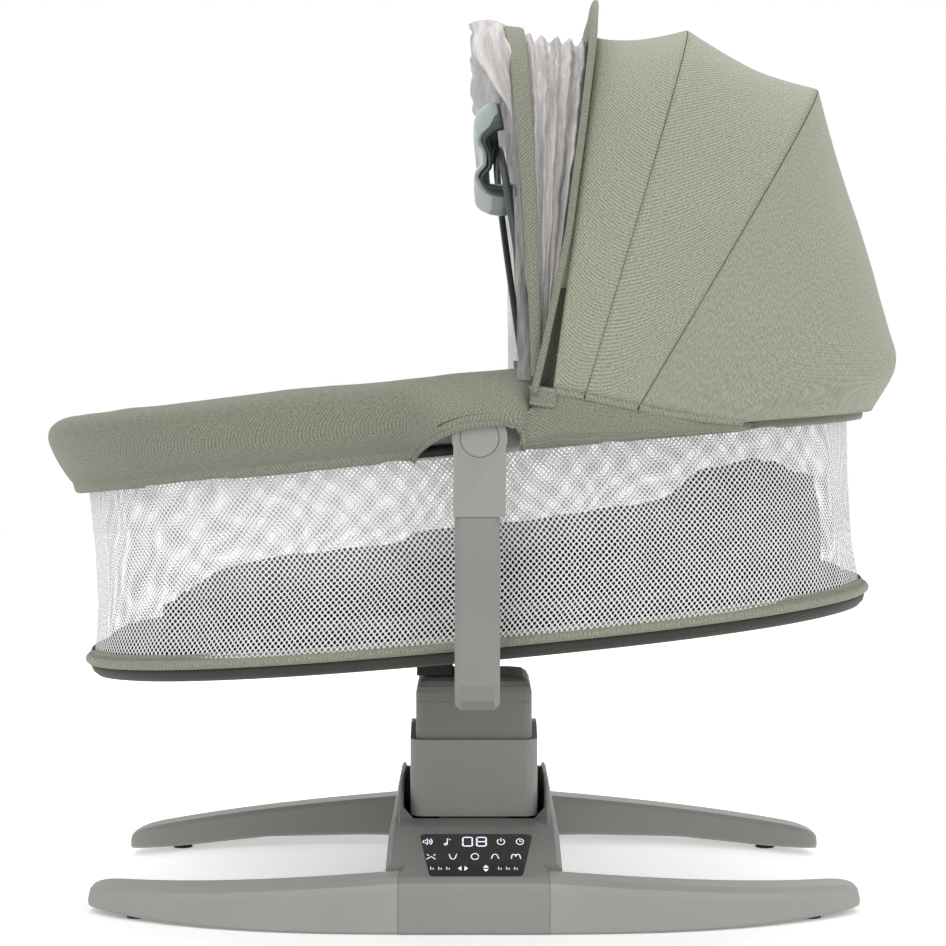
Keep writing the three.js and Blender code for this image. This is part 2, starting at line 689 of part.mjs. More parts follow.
function hubSocket(side) {
  const disc = rod(21.6, side * (RIM_WIDTH - 2), side * (ARM_INNER_Y - 0.6), 36);
  const stub = rod(AXLE_RADIUS, side * 250, side * 272.6, 32);
  return cut(join(disc, stub), rimFrameCutter());
}

function rimFrameCutter() {
  return box(-60, 60, -RIM_WIDTH - 8.5, RIM_WIDTH + 8.5, 15.5, 60);
}

function canopyHingeMount(side) {
  const [x, z] = CANOPY_PIVOT;
  const boss = rod(12, side * (RIM_WIDTH + 2), side * (RIM_SIDE + 2.9), 28);
  const pin = rod(CANOPY_PIN_RADIUS, side * RIM_WIDTH, side * (RIM_SIDE + 12.8), 20);
  const g = join(boss, pin).translate(x, 0, z);
  return cut(g, rimFrameCutter().translate(x, 0, 1));
}

function buildBassinet() {
  add(bassinet, "rim_frame", rimFrame(), metal(STEEL));
  add(bassinet, "rim_cover", rimCover(), fabric(SAGE));
  add(bassinet, "mesh_wall", meshWall(), fabric(MESH_WHITE));
  add(bassinet, "floor_piping", floorPiping(), fabric(SAGE_DARK));
  add(bassinet, "floor_board", floorBoard(), plastic(CHARCOAL));
  add(bassinet, "mattress", mattress(), fabric(MESH_WHITE));
  add(bassinet, "seat_insert", seatInsert(), fabric(CHARCOAL));
  for (const side of [-1, 1]) {
    const tag = side < 0 ? "front" : "rear";
    add(bassinet, `hub_socket_${tag}`, hubSocket(side), plastic(SHELL_DARK));
    add(bassinet, `canopy_hinge_mount_${tag}`, canopyHingeMount(side), plastic(SHELL_DARK));
  }
}

// ---- canopy, toy bar and net ----
// A seam of the canopy rises from its foot on the hem to its top on the middle plane, both [x, z].
// half is its half-width at the foot, and power says how square its corners are.
const CANOPY_HALF = RIM_SIDE + 15;
const CANOPY_TAPER = 0.08;
const FRONT_SEAM = { foot: [64, 20], top: [145, 366], half: CANOPY_HALF, power: 4.4 };
const MIDDLE_SEAM = { foot: [90, 14], top: [232, 365], half: CANOPY_HALF, power: 4.4 };
const DIP_SEAM = { foot: [113, 10], top: [293, 325], half: CANOPY_HALF, power: 4.2 };
const REAR_SEAM = { foot: [136, 6], top: [351, 299], half: CANOPY_HALF, power: 4 };
const REAR_TOPS = [[364, 228], [384, 152], [401, 70], [409, 30], [384, -12]];
const VISOR_WIDTH = 36;
const NET_WIDTH = 95;
const TOY_PIVOT = [55, 64];
const TOY_HALF = RIM_WIDTH - 10;
const TOY_ARCH = { foot: [55, 64], top: [44, 274], half: TOY_HALF, power: 3.4 };

const rearSeams = REAR_TOPS.map((top, i) => {
  const share = (i + 1) / REAR_TOPS.length;
  const foot = [lerp(REAR_SEAM.foot[0], 235, share), lerp(REAR_SEAM.foot[1], -8, share)];
  const half = lerp(CANOPY_HALF, CANOPY_HALF - 31, share);
  return { foot, top, half, power: lerp(REAR_SEAM.power, 2.2, share) };
});

// A point of a seam at turn 0..PI from the front side to the rear side, moved out from the arch
// and along +X.
function seamPoint(seam, turn, out = 0, along = 0) {
  const rise = Math.sin(turn) ** (2 / seam.power);
  const side = -Math.sign(Math.cos(turn)) * Math.abs(Math.cos(turn)) ** (2 / seam.power);
  const dx = seam.top[0] - seam.foot[0];
  const dz = seam.top[1] - seam.foot[1];
  const length = Math.hypot(dx, dz);
  const nRise = rise ** (seam.power - 1) / length;
  const nSide = (Math.sign(side) * Math.abs(side) ** (seam.power - 1)) / seam.half;
  const n = Math.hypot(nRise, nSide);
  const high = rise * length + (out * nRise) / n;
  const y = (side * seam.half + (out * nSide) / n) * (1 - CANOPY_TAPER * rise);
  const x = seam.foot[0] + (dx * high + dz * along) / length;
  return V(x, y, seam.foot[1] + (dz * high - dx * along) / length);
}

function turns(count, from = 0, to = Math.PI) {
  return Array.from({ length: count + 1 }, (_, i) => lerp(from, to, i / count));
}

// A fabric panel through its seams, drawn back a little from the first and the last.
function panel(seams, trimStart, trimEnd) {
  const last = seams.length - 1;
  const rows = (out) => seams.map((seam, i) => turns(18).map((turn) => {
    const here = seamPoint(seam, turn, out);
    if (i > 0 && i < last) return here;
    const next = seamPoint(seams[i ? last - 1 : 1], turn, out);
    return here.add(V(0, 0, 0).subVectors(next, here).setLength(i ? trimEnd : trimStart));
  }));
  const under = rows(-FABRIC);
  return stitched(rows(0).map((row, i) => [...row, ...under[i].reverse()]), 19);
}

// A body along a path of points p with outward normals n, with a section of [sideways, outward] points.
function sweep(path, section) {
  return loft(path.map(({ p, n }, i) => {
    const next = path[Math.min(i + 1, path.length - 1)].p;
    const before = path[Math.max(i - 1, 0)].p;
    const tangent = V(0, 0, 0).subVectors(next, before).normalize();
    const side = tangent.clone().cross(n).normalize();
    const up = side.clone().cross(tangent).normalize();
    return section.map(([a, b]) => p.clone().addScaledVector(side, a).addScaledVector(up, b));
  }));
}

// A flat rib inside the canopy, from an eye on the hinge pin, along the hem, and up under its seam.
function bow(seam, hingeY, along, depth) {
  const half = [];
  const [px, pz] = CANOPY_PIVOT;
  const pivot = V(px, -hingeY, pz);
  const heading = seamPoint(seam, 0.03, depth, along).sub(pivot).setY(0).normalize();
  for (const reach of [7.5, 13]) {
    half.push({ p: pivot.clone().addScaledVector(heading, reach), n: V(0, -1, 0) });
  }
  for (const turn of [0.03, 0.2, 0.42, 0.62, 0.8, 0.97, 1.12, 1.27, 1.42]) {
    const p = seamPoint(seam, turn, depth, along);
    const o = seamPoint(seam, turn, depth - 5, along);
    half.push({ p, n: V(0, 0, 0).subVectors(p, o).normalize() });
  }
  const top = seamPoint(seam, Math.PI / 2, depth, along);
  const under = seamPoint(seam, Math.PI / 2, depth - 5, along);
  const flip = ({ p, n }) => ({ p: V(p.x, -p.y, p.z), n: V(n.x, -n.y, n.z) });
  const crown = { p: top, n: V(0, 0, 0).subVectors(top, under).normalize() };
  const path = [...half, crown, ...half.slice().reverse().map(flip)];
  const rib = sweep(path, [[-3.5, -2.4], [3.5, -2.4], [3.5, 0], [-3.5, 0]]);
  const eye = rod(9.5, -hingeY, -hingeY + 2.4, 24).translate(px, 0, pz);
  const hole = rod(CANOPY_PIN_RADIUS + 0.35, -300, 300, 24).translate(px, 0, pz);
  return cut(join(rib, eye, mirrorY(eye)), hole);
}

// A flap that stands out round the front edge of the canopy.
function visor() {
  const rings = turns(18, 0.02, Math.PI - 0.02).map((turn) => {
    const wide = 9 + (VISOR_WIDTH - 9) * Math.sin(turn) ** 1.4;
    const section = [[-2, -2], [wide, -2], [wide, -8.5], [-2, -8.5]];
    return section.map(([out, along]) => seamPoint(FRONT_SEAM, turn, out, along));
  });
  return loft(rings);
}

// The insect net, gathered in a bunch round the front of the canopy.
function net() {
  const rings = turns(18, 0.03, Math.PI - 0.03).map((turn) => {
    const rise = Math.sin(turn) ** (2 / FRONT_SEAM.power);
    const wide = 13 + NET_WIDTH * rise ** 2.2;
    const section = [[-20, -10], [4, -10], [8, -10 - wide * 0.5], [-2, -10 - wide], [-18, -10 - wide],
      [-22, -10 - wide * 0.5]];
    return section.map(([out, along]) => seamPoint(FRONT_SEAM, turn, out, along));
  });
  return loft(rings);
}

function toyArch() {
  const path = turns(16).map((turn) => {
    const p = seamPoint(TOY_ARCH, turn);
    return { p, n: V(0, 0, 0).subVectors(p, seamPoint(TOY_ARCH, turn, -5)).normalize() };
  });
  const circle = [30, 90, 150, 210, 270, 330].map(rad);
  const tube = sweep(path, circle.map((a) => [3.6 * Math.cos(a), 3.6 * Math.sin(a)]));
  const [x, z] = TOY_PIVOT;
  const eye = rod(7, -TOY_HALF - 4, -TOY_HALF + 4, 20).translate(x, 0, z);
  const hole = rod(3.3, -300, 300, 20).translate(x, 0, z);
  return cut(join(tube, eye, mirrorY(eye)), hole);
}

// The wide moulded bridge of the toy bar: a curved plate in front of the arch, from side to side.
function toyBridge() {
  const profile = [[4, 44], [-6, 42], [-16, 33], [-18, 22], [-15, 12], [-16, -8], [-23, -18],
    [-25, -28], [-20, -38], [-6, -43], [6, -42]];
  const grid = turns(12, 1.08, Math.PI - 1.08).map((turn) => {
    return profile.map(([along, out]) => seamPoint(TOY_ARCH, turn, out, along));
  });
  return shell(grid, 4);
}

function toyMount(side) {
  const [x, z] = TOY_PIVOT;
  const block = box(x - 10, x + 10, -TOY_HALF + 5.4, -TOY_HALF + 12, z - 5.8, z + 8);
  const pin = rod(3, -TOY_HALF - 5, -TOY_HALF + 8, 18).translate(x, 0, z);
  const g = join(block, pin);
  return side < 0 ? g : mirrorY(g);
}

function buildCanopy() {
  add(bassinet, "canopy_rear_panel", panel([REAR_SEAM, ...rearSeams], 0.4, 0.1), fabric(SAGE));
  add(bassinet, "canopy_middle_panel", panel([MIDDLE_SEAM, DIP_SEAM, REAR_SEAM], 0.4, 0.4), fabric(SAGE));
  add(bassinet, "canopy_front_panel", panel([FRONT_SEAM, MIDDLE_SEAM], 0.1, 0.4), fabric(SAGE));
  add(bassinet, "canopy_rear_bow", bow(REAR_SEAM, RIM_SIDE + 12, -2.5, -6.5), plastic(SHELL_DARK));
  add(bassinet, "canopy_middle_bow", bow(MIDDLE_SEAM, RIM_SIDE + 8.9, 0, -5), plastic(SHELL_DARK));
  add(bassinet, "canopy_front_bow", bow(FRONT_SEAM, RIM_SIDE + 5.6, 5, -5), plastic(SHELL_DARK));
  add(bassinet, "canopy_visor", visor(), fabric(SAGE));
  add(bassinet, "insect_net", net(), fabric(GAUZE));
}

function buildToyBar() {
  add(bassinet, "toy_bar_arch", toyArch(), plastic(TEAL));
  add(bassinet, "toy_bar_bridge", toyBridge(), plastic(TEAL));
  add(bassinet, "toy_bar_mount_front", toyMount(-1), plastic(SHELL_DARK));
  add(bassinet, "toy_bar_mount_rear", toyMount(1), plastic(SHELL_DARK));
}

buildBase();
buildColumn();
buildYoke();
buildBassinet();
buildCanopy();
buildToyBar();

export default swing;
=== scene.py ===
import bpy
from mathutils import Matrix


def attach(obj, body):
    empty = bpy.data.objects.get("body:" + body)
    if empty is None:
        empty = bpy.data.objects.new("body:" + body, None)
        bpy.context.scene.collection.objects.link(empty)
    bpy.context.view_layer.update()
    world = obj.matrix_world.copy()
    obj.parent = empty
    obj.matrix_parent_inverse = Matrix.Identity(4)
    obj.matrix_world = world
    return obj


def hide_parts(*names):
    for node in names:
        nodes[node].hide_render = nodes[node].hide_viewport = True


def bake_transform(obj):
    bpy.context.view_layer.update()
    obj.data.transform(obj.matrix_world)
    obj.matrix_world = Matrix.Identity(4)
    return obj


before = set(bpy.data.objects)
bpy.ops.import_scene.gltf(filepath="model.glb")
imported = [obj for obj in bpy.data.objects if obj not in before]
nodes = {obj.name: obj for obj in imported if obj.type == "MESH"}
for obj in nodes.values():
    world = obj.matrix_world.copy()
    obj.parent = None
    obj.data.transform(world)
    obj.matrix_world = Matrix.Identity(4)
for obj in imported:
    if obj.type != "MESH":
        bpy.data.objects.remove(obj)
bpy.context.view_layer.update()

import math

import bmesh
import bpy
from mathutils import Vector, noise

PI = math.pi


def in_scene(name, data):
    """A new object in the scene."""
    made = bpy.data.objects.new(name, data)
    bpy.context.collection.objects.link(made)
    return made


# ---- camera and studio ----
camera = in_scene("camera", bpy.data.cameras.new("camera"))
camera.location = (0, -2.3, 0.479)
camera.rotation_euler = (PI / 2, 0, 0)
camera.data.sensor_width = 36
camera.data.lens = 87.5
camera.data.shift_x = -0.001
camera.data.shift_y = -0.077
camera.data.clip_start = 0.05
bpy.context.scene.camera = camera
bpy.context.scene.view_settings.view_transform = "Standard"

world = bpy.data.worlds.new("studio")
bpy.context.scene.world = world
world.use_nodes = True
sky = world.node_tree
room_light = sky.nodes["Background"]
room_light.inputs["Color"].default_value = (1, 1, 1, 1)
room_light.inputs["Strength"].default_value = 0.8
backdrop = sky.nodes.new("ShaderNodeBackground")
backdrop.inputs["Strength"].default_value = 1.0
backdrop.inputs["Color"].default_value = (1, 1, 1, 1)
ray = sky.nodes.new("ShaderNodeLightPath")
either = sky.nodes.new("ShaderNodeMixShader")
sky.links.new(ray.outputs["Is Camera Ray"], either.inputs[0])
sky.links.new(room_light.outputs[0], either.inputs[1])
sky.links.new(backdrop.outputs[0], either.inputs[2])
sky.links.new(either.outputs[0], sky.nodes["World Output"].inputs["Surface"])


def area_light(name, at, target, size, power):
    light = in_scene(name, bpy.data.lights.new(name, "AREA"))
    light.data.shape = "RECTANGLE"
    light.data.size, light.data.size_y = size
    light.data.energy = power
    light.location = at
    light.rotation_euler = (Vector(target) - Vector(at)).to_track_quat("-Z", "Y").to_euler()


area_light("key", (-0.9, -2.0, 2.3), (0, 0, 0.45), (1.6, 1.2), 20)
area_light("fill", (1.8, -1.6, 1.5), (0, 0, 0.4), (1.4, 1.4), 13)
area_light("top", (0.1, 0.3, 2.6), (0, 0, 0.4), (2.0, 1.6), 23)
area_light("back", (0.4, 2.4, 1.4), (0, 0, 0.5), (2.2, 1.4), 10)


# ---- node materials ----
class Shader:
    """A material that is built node by node on a Principled shader."""

    def __init__(self, name):
        self.material = bpy.data.materials.new(name)
        self.material.use_nodes = True
        self.tree = self.material.node_tree
        self.surface = self.tree.nodes["Principled BSDF"]
        self.output = self.tree.nodes["Material Output"]
        self.place = self.node("ShaderNodeTexCoord")

    def node(self, kind, **values):
        made = self.tree.nodes.new(kind)
        for key, value in values.items():
            setattr(made, key, value)
        return made

    def link(self, source, target):
        if hasattr(source, "is_output"):
            self.tree.links.new(source, target)
        else:
            target.default_value = source

    def math(self, operation, *values):
        made = self.node("ShaderNodeMath", operation=operation)
        for value, socket in zip(values, made.inputs):
            self.link(value, socket)
        return made.outputs[0]

    def noise(self, scale, detail=2.0, roughness=0.5, where="Object", stretch=None):
        made = self.node("ShaderNodeTexNoise")
        vector = self.place.outputs[where]
        if stretch:
            vector = self.scaled(vector, stretch)
        self.link(vector, made.inputs["Vector"])
        made.inputs["Scale"].default_value = scale
        made.inputs["Detail"].default_value = detail
        made.inputs["Roughness"].default_value = roughness
        return made.outputs["Fac"]

    def scaled(self, vector, by):
        made = self.node("ShaderNodeMapping")
        self.link(vector, made.inputs["Vector"])
        made.inputs["Scale"].default_value = by
        return made.outputs["Vector"]

    def ramp(self, value, low, high, low_out=0.0, high_out=1.0):
        made = self.node("ShaderNodeMapRange")
        self.link(value, made.inputs["Value"])
        made.inputs["From Min"].default_value = low
        made.inputs["From Max"].default_value = high
        made.inputs["To Min"].default_value = low_out
        made.inputs["To Max"].default_value = high_out
        return made.outputs["Result"]

    def mix(self, factor, first, second):
        made = self.node("ShaderNodeMix", data_type="RGBA")
        self.link(factor, made.inputs["Factor"])
        for value, socket in ((first, made.inputs["A"]), (second, made.inputs["B"])):
            self.link(colour(value) if isinstance(value, tuple) else value, socket)
        return made.outputs["Result"]

    def bump(self, height, strength, distance):
        made = self.node("ShaderNodeBump")
        made.inputs["Strength"].default_value = strength
        made.inputs["Distance"].default_value = distance
        self.link(height, made.inputs["Height"])
        return made.outputs["Normal"]

    def uv(self):
        split = self.node("ShaderNodeSeparateXYZ")
        self.link(self.place.outputs["UV"], split.inputs[0])
        return split.outputs[0], split.outputs[1]

    def set(self, **values):
        for key, value in values.items():
            self.link(value, self.surface.inputs[key.replace("_", " ")])
        return self.material

    def see_through(self, cover):
        """Where cover is 0 the surface is open, and where it is 1 it is solid."""
        clear = self.node("ShaderNodeBsdfTransparent")
        both = self.node("ShaderNodeMixShader")
        self.link(cover, both.inputs[0])
        self.link(clear.outputs[0], both.inputs[1])
        self.link(self.surface.outputs[0], both.inputs[2])
        self.link(both.outputs[0], self.output.inputs["Surface"])


def linear(value):
    value /= 255
    return value / 12.92 if value <= 0.04045 else ((value + 0.055) / 1.055) ** 2.4


def colour(rgb):
    """A colour for the shader from its display red, green and blue, each 0 to 255."""
    return (*[linear(v) for v in rgb], 1.0)


def shaded(rgb, by):
    return tuple(min(255, v * by) for v in rgb)


def plastic(name, rgb, roughness=0.5, grain=1.0):
    """Satin moulded plastic: a spark-eroded grain, faint flow in the colour, and paler sharp edges."""
    s = Shader(name)
    cloud = s.ramp(s.noise(7, 3), 0.3, 0.7)
    fine = s.noise(2600, 1)
    scuff = s.ramp(s.noise(60, 4, 0.7), 0.62, 0.8, 0, 0.35)
    base = s.mix(cloud, shaded(rgb, 0.985), shaded(rgb, 1.015))
    specks = s.mix(s.ramp(fine, 0.35, 0.75, 0, 0.28), base, shaded(rgb, 0.9))
    # Sharp convex edges, found by pointiness, are made up to 30% paler.
    edge = s.ramp(s.node("ShaderNodeNewGeometry").outputs["Pointiness"], 0.53, 0.62, 0, 0.3)
    pale_edged = s.mix(edge, specks, shaded(rgb, 1.12))
    matt = s.ramp(fine, 0.3, 0.7, roughness - 0.05, roughness + 0.06)
    rough = s.math("ADD", matt, s.math("MULTIPLY", scuff, 0.12))
    normal = s.bump(fine, 0.22 * grain, 0.0006)
    return s.set(Base_Color=pale_edged, Roughness=rough, Normal=normal, Specular_IOR_Level=0.42)


def metal(name, rgb, roughness=0.34, stretch=(40, 1, 1)):
    s = Shader(name)
    lines = s.noise(90, 3, 0.6, stretch=stretch)
    rough = s.ramp(lines, 0.2, 0.8, roughness - 0.08, roughness + 0.12)
    tone = s.mix(lines, shaded(rgb, 0.92), shaded(rgb, 1.05))
    return s.set(Base_Color=tone, Metallic=1.0, Roughness=rough, Normal=s.bump(lines, 0.15, 0.0004))


def twill(name, light, dark, pitch=0.0025, slant=1.0):
    """Melange twill: slanting ribs of pale yarn over dark, broken into threads, with cloudy dye."""
    s = Shader(name)
    u, v = s.uv()
    drift = s.math("MULTIPLY", s.noise(120, 2, 0.5, where="UV"), 0.0009)
    across = s.math("ADD", s.math("ADD", u, s.math("MULTIPLY", v, slant)), drift)
    rib = s.math("SINE", s.math("MULTIPLY", across, 2 * PI / (pitch * math.sqrt(1 + slant * slant))))
    along = s.math("SUBTRACT", v, s.math("MULTIPLY", u, slant))
    thread = s.math("SINE", s.math("MULTIPLY", along, 2 * PI / (pitch * 0.75)))
    fleck = s.noise(560, 2, 0.6, where="UV")
    patch = s.ramp(s.noise(70, 2, where="UV"), 0.3, 0.7, 0.4, 1.3)
    ribs = s.math("MULTIPLY", s.math("MULTIPLY", rib, 0.2), patch)
    weave = s.math("ADD", ribs, s.math("MULTIPLY", thread, 0.07))
    mixed = s.math("ADD", s.math("ADD", weave, s.math("MULTIPLY", fleck, 1.5)), -0.25)
    pale = s.ramp(mixed, 0.0, 1.0)
    cloud = s.ramp(s.noise(14, 3, 0.6), 0.3, 0.7)
    tone = s.mix(pale, dark, light)
    dyed = s.mix(s.math("MULTIPLY", cloud, 0.10), tone, shaded(light, 0.72))
    height = s.math("ADD", s.math("MULTIPLY", rib, 0.5), s.math("MULTIPLY", fleck, 0.7))
    normal = s.bump(height, 0.4, 0.0006)
    s.surface.inputs["Sheen Weight"].default_value = 0.18
    s.surface.inputs["Sheen Roughness"].default_value = 0.5
    rough = s.ramp(pale, 0, 1, 0.95, 0.8)
    return s.set(Base_Color=dyed, Roughness=rough, Normal=normal, Specular_IOR_Level=0.12)


def plain_cloth(name, rgb, pitch=0.0016):
    """Close plain weave that needs no UV, from two crossed waves in the object's own frame."""
    s = Shader(name)
    split = s.node("ShaderNodeSeparateXYZ")
    s.link(s.place.outputs["Object"], split.inputs[0])
    waves = [s.math("SINE", s.math("MULTIPLY", axis, 2 * PI / pitch)) for axis in split.outputs]
    woven = s.math("ADD", s.math("MULTIPLY", waves[0], waves[1]), s.math("MULTIPLY", waves[1], waves[2]))
    fleck = s.noise(700, 3, 0.6)
    cloud = s.ramp(s.noise(9, 3), 0.3, 0.7)
    tone = s.mix(fleck, shaded(rgb, 0.72), shaded(rgb, 1.3))
    aged = s.mix(s.math("MULTIPLY", cloud, 0.3), tone, shaded(rgb, 0.85))
    height = s.math("ADD", s.math("MULTIPLY", woven, 0.4), fleck)
    s.surface.inputs["Sheen Weight"].default_value = 0.2
    rough = s.ramp(fleck, 0, 1, 0.95, 0.82)
    normal = s.bump(height, 0.5, 0.0006)
    return s.set(Base_Color=aged, Roughness=rough, Normal=normal, Specular_IOR_Level=0.15)


def knitted_mesh(name, rgb, pitch=(0.0052, 0.0059), open_share=0.62):
    """Warp-knitted net: staggered oval holes between rounded white yarns."""
    s = Shader(name)
    u, v = s.uv()
    wobble = s.math("MULTIPLY", s.math("SUBTRACT", s.noise(90, 2, where="UV"), 0.5), 0.0011)
    stretch = s.math("MULTIPLY", s.math("SUBTRACT", s.noise(12, 2, where="UV"), 0.5), 0.011)
    across = s.math("ADD", s.math("ADD", u, wobble), stretch)
    down = s.math("ADD", v, s.math("MULTIPLY", stretch, 0.7))
    a = s.math("COSINE", s.math("MULTIPLY", across, 2 * PI / pitch[0]))
    b = s.math("COSINE", s.math("MULTIPLY", down, 2 * PI / pitch[1]))
    size = s.ramp(s.noise(40, 2, where="UV"), 0.3, 0.7, 1 - open_share - 0.03, 1 - open_share + 0.03)
    cells = s.math("ABSOLUTE", s.math("ADD", a, b))
    hole = s.math("GREATER_THAN", cells, s.math("MULTIPLY", size, 2.0))
    cover = s.math("SUBTRACT", 1.0, hole)
    yarn = s.noise(1500, 2, where="UV")
    tone = s.mix(yarn, shaded(rgb, 0.9), shaded(rgb, 1.05))
    height = s.math("ADD", s.math("MULTIPLY", cells, -0.5), s.math("MULTIPLY", yarn, 0.3))
    normal = s.bump(height, 0.4, 0.0006)
    rough = s.ramp(yarn, 0, 1, 0.75, 0.6)
    made = s.set(Base_Color=tone, Roughness=rough, Normal=normal, Specular_IOR_Level=0.2)
    s.see_through(cover)
    return made


def gauze(name, rgb):
    """Thin crinkled net whose folds are dense where the cloth turns away and open where it lies flat."""
    s = Shader(name)
    u, v = s.uv()
    thread = s.math("ADD", s.math("SINE", s.math("MULTIPLY", u, 2 * PI / 0.0013)),
                    s.math("SINE", s.math("MULTIPLY", v, 2 * PI / 0.0013)))
    crease = s.noise(70, 4, 0.65, where="UV", stretch=(1, 0.12, 1))
    dense = s.ramp(crease, 0.34, 0.66, 0.34, 0.9)
    cover = s.math("MINIMUM", s.math("ADD", dense, s.math("MULTIPLY", thread, 0.10)), 1.0)
    # The tone follows the crease noise: painted shade in the hollows of the crinkles and painted light on
    # their ridges.
    tone = s.mix(s.ramp(crease, 0.3, 0.7), shaded(rgb, 0.84), shaded(rgb, 1.1))
    height = s.math("ADD", crease, s.math("MULTIPLY", thread, 0.05))
    rough = s.ramp(crease, 0, 1, 0.9, 0.7)
    normal = s.bump(height, 0.6, 0.0025)
    made = s.set(Base_Color=tone, Roughness=rough, Normal=normal, Specular_IOR_Level=0.2)
    s.see_through(cover)
    return made


SAGE_LIGHT = (175, 179, 162)
SAGE_SHADE = (102, 107, 88)
SHELL = (147, 150, 144)

shell = plastic("shell", SHELL)
# body_shell, shell_pale, column_shell and arm_shell are the same grey plastic made darker: partly their own
# tone, partly painted shade for the dimmer light on the base body, hub casings, column and arms.
body_shell = plastic("body_shell", (132, 134, 130))
shell_pale = plastic("shell_pale", (140, 143, 136), 0.46)
sleeve_shell = plastic("sleeve_shell", (147, 150, 145), 0.5)
column_shell = plastic("column_shell", (134, 137, 132), 0.55)
arm_shell = plastic("arm_shell", (128, 131, 125), 0.48)
trim = plastic("trim", (96, 99, 95), 0.5)
black = plastic("black", (30, 30, 31), 0.55)
nylon = plastic("nylon", (226, 221, 204), 0.4, 0.3)
teal = plastic("teal", (160, 171, 166), 0.42, 0.4)
teal_dark = plastic("teal_dark", (62, 71, 70), 0.45, 0.5)
rubber = plastic("rubber", (40, 41, 40), 0.85, 2.5)
steel = metal("steel", (182, 184, 187))
tube_metal = metal("tube_metal", (170, 172, 174), 0.4, (1, 1, 12))
sage = twill("sage", SAGE_LIGHT, SAGE_SHADE)
# The rim twill is the canopy twill made darker, as painted shade for the dimmer light on the rim cover; the
# visor, skirts, tabs and bands use it too.
sage_rim = twill("sage_rim", shaded(SAGE_LIGHT, 0.87), shaded(SAGE_SHADE, 0.85), slant=-1.0)
sage_other_way = twill("sage_other_way", SAGE_LIGHT, SAGE_SHADE, slant=-1.0)
sage_piping = twill("sage_piping", shaded(SAGE_LIGHT, 0.95), shaded(SAGE_SHADE, 0.9), slant=0.9)
# A darker copy of the twill used as painted shade: along the seam ridges, in the crease above each hub roll
# and in the deep fold of the visor facing.
sage_painted_shade = twill("sage_painted_shade", (92, 98, 82), (54, 58, 47), pitch=0.0018)
lining = plain_cloth("lining", (168, 166, 158))
white_mesh = knitted_mesh("white_mesh", (226, 227, 227))
charcoal = plain_cloth("charcoal", (62, 62, 57), 0.0022)
grey_pad = plain_cloth("grey_pad", (50, 51, 53), 0.0018)
net_cloth = gauze("net_cloth", (206, 202, 201))
thread = plain_cloth("thread", (150, 156, 136), 0.0008)


# ---- rigid CAD pieces ----
def polish(name, material, width=0.0012, segments=3, angle=24):
    """Gives a CAD piece its material, rounded edges and smooth shading."""
    piece = nodes[name]
    piece.data.materials.clear()
    piece.data.materials.append(material)
    for face in piece.data.polygons:
        face.use_smooth = True
    merge = piece.modifiers.new("flats", "DECIMATE")
    merge.decimate_type = "DISSOLVE"
    merge.angle_limit = math.radians(0.4)
    bevel = piece.modifiers.new("edges", "BEVEL")
    bevel.width = width
    bevel.segments = segments
    bevel.limit_method = "ANGLE"
    bevel.angle_limit = math.radians(angle)
    bevel.harden_normals = False
    normals = piece.modifiers.new("normals", "WEIGHTED_NORMAL")
    normals.keep_sharp = False


for name in nodes:
    if name.startswith("leg_"):
        polish(name, shell, 0.0030, 5)
    elif name == "base_body":
        polish(name, body_shell, 0.0022, 4)
    elif name.startswith("yoke_arm"):
        polish(name, arm_shell, 0.0030, 5)
    elif name == "column_lower_sleeve":
        polish(name, sleeve_shell, 0.0016, 4)
    elif name.startswith(("hub_casing", "hub_button")):
        polish(name, shell_pale, 0.0016, 4)
    elif name.startswith(("column_", "base_bottom", "hub_socket", "canopy_hinge", "toy_bar_mount")):
        polish(name, column_shell, 0.0016, 4)
    elif name.startswith("foot_pad"):
        polish(name, rubber, 0.0008)
    elif name.startswith(("speaker", "power_inlet", "yoke_saddle")):
        polish(name, black, 0.0008)
    elif name.startswith(("sway_pinion", "sway_sector")):
        polish(name, nylon, 0.0003, 2, 40)
    elif name.endswith("_bow"):
        polish(name, trim, 0.0005, 2, 40)
    elif name == "rim_frame":
        polish(name, tube_metal, 0.0015, 3, 20)
    elif name.startswith(("sway_", "axle_", "rocker", "lift_", "saddle_", "button_spring")):
        polish(name, steel, 0.0005, 2)


